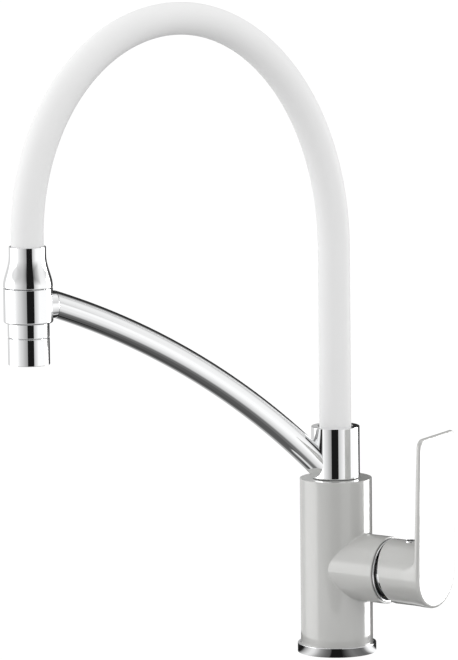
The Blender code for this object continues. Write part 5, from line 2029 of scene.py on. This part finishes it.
# Levels across the cards, by metres from the middle
CARD_LOW = (
    (-1.30, 1.0), (-1.10, 1.0), (-0.90, 0.86), (-0.75, 0.77), (-0.60, 0.68), (-0.50, 0.62), (-0.40, 0.52),
    (-0.30, 0.42), (-0.205, 0.33), (-0.20, 0.01), (0.22, 0.01), (0.225, 0.54), (0.33, 0.64), (0.41, 0.73),
    (0.50, 0.80), (0.60, 0.86), (0.71, 0.94), (0.80, 1.0), (1.30, 1.0),
)
CARD_HIGH = (
    (-1.30, 0.75), (-1.10, 0.67), (-0.79, 0.56), (-0.60, 0.50), (-0.465, 0.46), (-0.345, 0.35),
    (-0.247, 0.20), (-0.20, 0.01), (0.22, 0.01), (0.23, 0.08), (0.28, 0.18), (0.37, 0.25), (0.485, 0.38),
    (0.645, 0.44), (0.82, 0.55), (1.06, 0.65), (1.30, 0.75),
)
BAND_LOW = (
    (-1.08, 0.72), (-0.82, 0.80), (-0.64, 1.3), (-0.48, 1.9), (-0.27, 2.1), (0.05, 2.5), (0.42, 2.8),
    (0.75, 2.9), (0.95, 2.5), (1.08, 1.6),
)
BAND_HIGH = ((-1.08, 0.72), (-0.16, 0.74), (0.66, 0.85), (1.08, 0.80))
MIRROR_LEVEL = 1.08


@dataclass(frozen=True)
class Card:
    """An upright card: its place, its size, and its levels across its foot and its top."""

    name: str
    turn: float
    distance: float
    half_width: float
    span: Point2
    blend: Point2
    low_levels: Sequence[Point2]
    high_levels: Sequence[Point2]
    strength: float

    def stops(self, levels: Sequence[Point2]) -> list[Point2]:
        """Levels by metres from its middle, as a ramp's stops."""
        return [(x / (2 * self.half_width) + 0.5, level) for x, level in levels]


@dataclass(frozen=True)
class Lamp:
    """A rectangular lamp, placed as the camera sees it round the object."""

    name: str
    turn: float
    rise: float
    distance: float
    size: Point2
    power: float


# The first is mirrored as the dark stripe with a grey gradient beside it, the second as the soft band
# on the lacquer
FRONT_CARD = Card(
    "front_card", turn=-3.0, distance=0.72, half_width=1.30, span=(-0.10, 0.95), blend=(0.36, 0.62),
    low_levels=CARD_LOW, high_levels=CARD_HIGH, strength=MIRROR_LEVEL,
)
LEFT_CARD = Card(
    "left_card", turn=-95.0, distance=1.60, half_width=1.08, span=(-0.40, 0.80), blend=(0.46, 0.74),
    low_levels=BAND_LOW, high_levels=BAND_HIGH, strength=1.0,
)
LEFT_SOFTBOX = Lamp("left_softbox", turn=-105, rise=6, distance=1.8, size=(1.5, 1.5), power=11.0)
RIGHT_STRIP = Lamp("right_strip", turn=115.5, rise=0, distance=1.4, size=(0.76, 1.0), power=17.0)


def turn_stops(levels: Sequence[Point2]) -> list[Point2]:
    """Levels by degrees to the right of the camera, as a ramp's stops."""
    return [((degrees + 180) / 360, level) for degrees, level in levels]


def rise_stops(levels: Sequence[Point2]) -> list[Point2]:
    """Levels by degrees above the horizon, as a ramp's stops over the sine of the height."""
    return [(math.sin(math.radians(degrees)) / 2 + 0.5, level) for degrees, level in levels]


@dataclass
class Studio:
    """Camera, floor, soft lamps, dark cards that chrome mirrors, and the surroundings."""

    camera_turn: float = math.radians(-26.87)
    camera_distance: float = 3.6265
    camera_height: float = 0.7146
    camera_yaw: float = math.radians(-1.15)
    camera_pitch: float = math.radians(7.68)
    camera_roll: float = math.radians(-0.63)
    focal_pixels: float = 5301.95
    frame_height_pixels: float = 660.0
    sensor: float = 36.0
    sight: float = 50.0
    lamp_aim: Triple = (-0.03, 0, 0.12)
    floor_size: float = 6.0
    floor_drop: float = 0.0002
    floor_level: float = 0.55
    floor_glow: float = 1.10
    glow_share: float = 0.88
    patch_radius: float = 0.080
    foot_radius: float = 0.0273
    foot_sight: float = 0.0160
    plain_level: float = 1.22

    def build(self) -> None:
        """Sets the whole studio up."""
        self._camera()
        self._floor()
        self._world()
        self._lamp(LEFT_SOFTBOX).visible_glossy = False
        self._lamp(RIGHT_STRIP).visible_diffuse = False
        self._card(FRONT_CARD)
        self._card(LEFT_CARD)
        bpy.context.scene.view_settings.view_transform = "Standard"

    def _toward_camera(self) -> Vector:
        """Level unit vector from the object to the camera."""
        return Vector((math.sin(self.camera_turn), -math.cos(self.camera_turn), 0))

    def _direction(self, turn: float, rise: float = 0.0) -> Vector:
        """A direction in degrees to the right of the camera and above the horizon."""
        level = Matrix.Rotation(math.radians(turn), 3, "Z") @ self._toward_camera()
        return level * math.cos(math.radians(rise)) + Vector((0, 0, math.sin(math.radians(rise))))

    def _camera(self) -> None:
        """A long lens at the photograph's angle."""
        place = self._toward_camera() * self.camera_distance
        place.z = self.camera_height
        heading = math.atan2(-place.x, -place.y) + self.camera_yaw
        ahead = Vector((
            math.sin(heading) * math.cos(self.camera_pitch),
            math.cos(heading) * math.cos(self.camera_pitch),
            -math.sin(self.camera_pitch),
        ))
        level = Vector((math.cos(heading), -math.sin(heading), 0))
        rise = level.cross(ahead)
        right = level * math.cos(self.camera_roll) + rise * math.sin(self.camera_roll)
        up = rise * math.cos(self.camera_roll) - level * math.sin(self.camera_roll)
        lens = bpy.data.cameras.new("camera")
        lens.sensor_width = self.sensor
        lens.lens = self.focal_pixels * self.sensor / self.frame_height_pixels
        lens.clip_end = self.sight
        camera = new_object("camera", lens)
        facing = Matrix((right, up, -ahead)).transposed().to_4x4()
        camera.matrix_world = Matrix.Translation(place) @ facing
        bpy.context.scene.camera = camera

    def _floor(self) -> None:
        """Pale floor, white to the camera, that keeps a faint shadow."""
        solid = bmesh.new()
        bmesh.ops.create_grid(solid, x_segments=1, y_segments=1, size=self.floor_size)
        mesh = bpy.data.meshes.new("floor")
        solid.to_mesh(mesh)
        solid.free()
        floor = new_object("floor", mesh)
        floor.location.z = -self.floor_drop
        made = bpy.data.materials.new("floor_finish")
        shading = Shading.of(made)
        path = shading.node("ShaderNodeLightPath").outputs
        pale = (self.floor_level, self.floor_level, self.floor_level, 1)
        soft = shading.node("ShaderNodeBsdfDiffuse", {"Color": pale})
        white = shading.glow((1, 1, 1, 1), self.floor_glow)
        shown = shading.mixed(self.glow_share, soft, white)
        seen = shading.mixed(path["Is Camera Ray"], soft, shown)
        mirrored = shading.mixed(path["Is Glossy Ray"], seen, self._near_floor(shading))
        shading.node("ShaderNodeOutputMaterial", {"Surface": mirrored.outputs[0]})
        mesh.materials.append(made)

    def _near_floor(self, shading: Shading) -> Node:
        """What mirrors see of the floor: dark and light patches round the foot, then nothing.

        Args:
            shading: The floor's node tree.

        Returns:
            The shader.
        """
        place = shading.object_place()
        length = shading.node("ShaderNodeVectorMath", {0: place}, {"operation": "LENGTH"})
        turn, _ = self._turn_and_rise(shading, place)
        levels = [(self._patch_turn(degrees), level) for degrees, level in FLOOR_PATCHES]
        lit = shading.glow(shading.ramp(turn, turn_stops(levels)))
        clear = shading.node("ShaderNodeBsdfTransparent")
        near = Value(shading, length.outputs["Value"]) < self.patch_radius
        return shading.mixed(near, clear, lit)

    def _patch_turn(self, degrees: float) -> float:
        """Where on the floor the foot's ring mirrors a direction.

        Args:
            degrees: The direction, to the right of the camera.

        Returns:
            The patch's turn about the body's axis, in degrees.
        """
        mirrored = math.radians(degrees)
        surface = mirrored / 2
        ahead = self.foot_radius * math.cos(surface) + self.foot_sight * math.cos(mirrored)
        side = self.foot_radius * math.sin(surface) + self.foot_sight * math.sin(mirrored)
        return math.degrees(math.atan2(side, ahead))

    def _turn_and_rise(self, shading: Shading, place: NodeSocket) -> tuple[Value, Value]:
        """A direction's turn from the camera's, as 0 to 1, and its rise as a sine.

        Args:
            shading: The node tree's builder.
            place: The direction, or a point seen from the origin.

        Returns:
            Turn and rise.
        """
        ahead, side = (shading.dot(place, tuple(self._direction(turn))) for turn in (0, 90))
        _, _, rise = shading.split(place)
        return side.arc_tangent(ahead) / (2 * math.pi) + 0.5, rise

    def _world(self) -> None:
        """White to the camera, a plain level of light, and a studio with dark sides in mirrors."""
        world = bpy.data.worlds.new("studio")
        shading = Shading.of(world)
        path = shading.node("ShaderNodeLightPath").outputs
        place = shading.node("ShaderNodeTexCoord").outputs["Generated"]
        turn, rise = self._turn_and_rise(shading, place)
        low, high = (shading.ramp(turn, turn_stops(levels)) for levels in (LOW_SURROUND, HIGH_SURROUND))
        height = rise * 0.5 + 0.5
        upper, fade, plain = (
            shading.ramp(height, rise_stops(levels)) for levels in (UPPER_SHARE, MIRROR_FADE, PLAIN_FADE)
        )
        mirror = (low + (high - low) * upper) * fade * MIRROR_LEVEL
        matte, bright, white = (
            shading.node("ShaderNodeBackground", {"Color": colour, "Strength": strength})
            for colour, strength in ((plain, self.plain_level), (mirror, 1.0), ((1, 1, 1, 1), 1.0))
        )
        glossy = shading.mixed(path["Is Glossy Ray"], matte, bright)
        seen = shading.mixed(path["Is Camera Ray"], glossy, white)
        shading.node("ShaderNodeOutputWorld", {"Surface": seen.outputs[0]})
        bpy.context.scene.world = world

    def _lamp(self, lamp: Lamp) -> Object:
        """Sets up a lamp that faces the object.

        Args:
            lamp: Its place, size and power.

        Returns:
            The lamp's object.
        """
        light = bpy.data.lights.new(lamp.name, "AREA")
        light.shape = "RECTANGLE"
        light.size, light.size_y = lamp.size
        light.energy = lamp.power
        made = new_object(lamp.name, light)
        away = self._direction(lamp.turn, lamp.rise)
        made.location = Vector(self.lamp_aim) + away * lamp.distance
        made.rotation_euler = away.to_track_quat("Z", "Y").to_euler()
        made.visible_camera = False
        return made

    def _card(self, card: Card) -> None:
        """Sets up an upright card that only mirrors show.

        Args:
            card: Its place, size and levels.
        """
        low, high = card.span
        half = card.half_width
        solid = bmesh.new()
        corners = ((-half, 0, low), (half, 0, low), (half, 0, high), (-half, 0, high))
        solid.faces.new([solid.verts.new(corner) for corner in corners])
        mesh = bpy.data.meshes.new(card.name)
        solid.to_mesh(mesh)
        solid.free()
        piece = new_object(card.name, mesh)
        piece.location = self._direction(card.turn) * card.distance
        across = self._direction(card.turn + 90)
        piece.rotation_euler.z = math.atan2(across.y, across.x)
        made = bpy.data.materials.new(card.name + "_finish")
        shading = Shading.of(made)
        x, _, z = shading.split(shading.object_place())
        place = x / (2 * half) + 0.5
        low_level, high_level = (
            shading.ramp(place, card.stops(levels)) for levels in (card.low_levels, card.high_levels)
        )
        first, last = card.blend
        share = ((z - first) / (last - first)).clamped()
        lit = shading.glow(low_level + (high_level - low_level) * share, card.strength)
        shading.node("ShaderNodeOutputMaterial", {"Surface": lit.outputs[0]})
        mesh.materials.append(made)
        piece.visible_camera = False
        piece.visible_diffuse = False
        piece.visible_shadow = False


def main() -> None:
    """Builds the studio and every piece."""
    logging.basicConfig(level=logging.INFO, format="%(message)s")
    Studio().build()
    tube = swept_tube_tree()
    BodyCasting().build()
    Cartridge().build()
    LeverHandle().build()
    Swivel().build()
    HolderArm(tube).build()
    SpoutHose(tube).build()
    SprayHead().build()


if __name__ == "__main__":
    main()
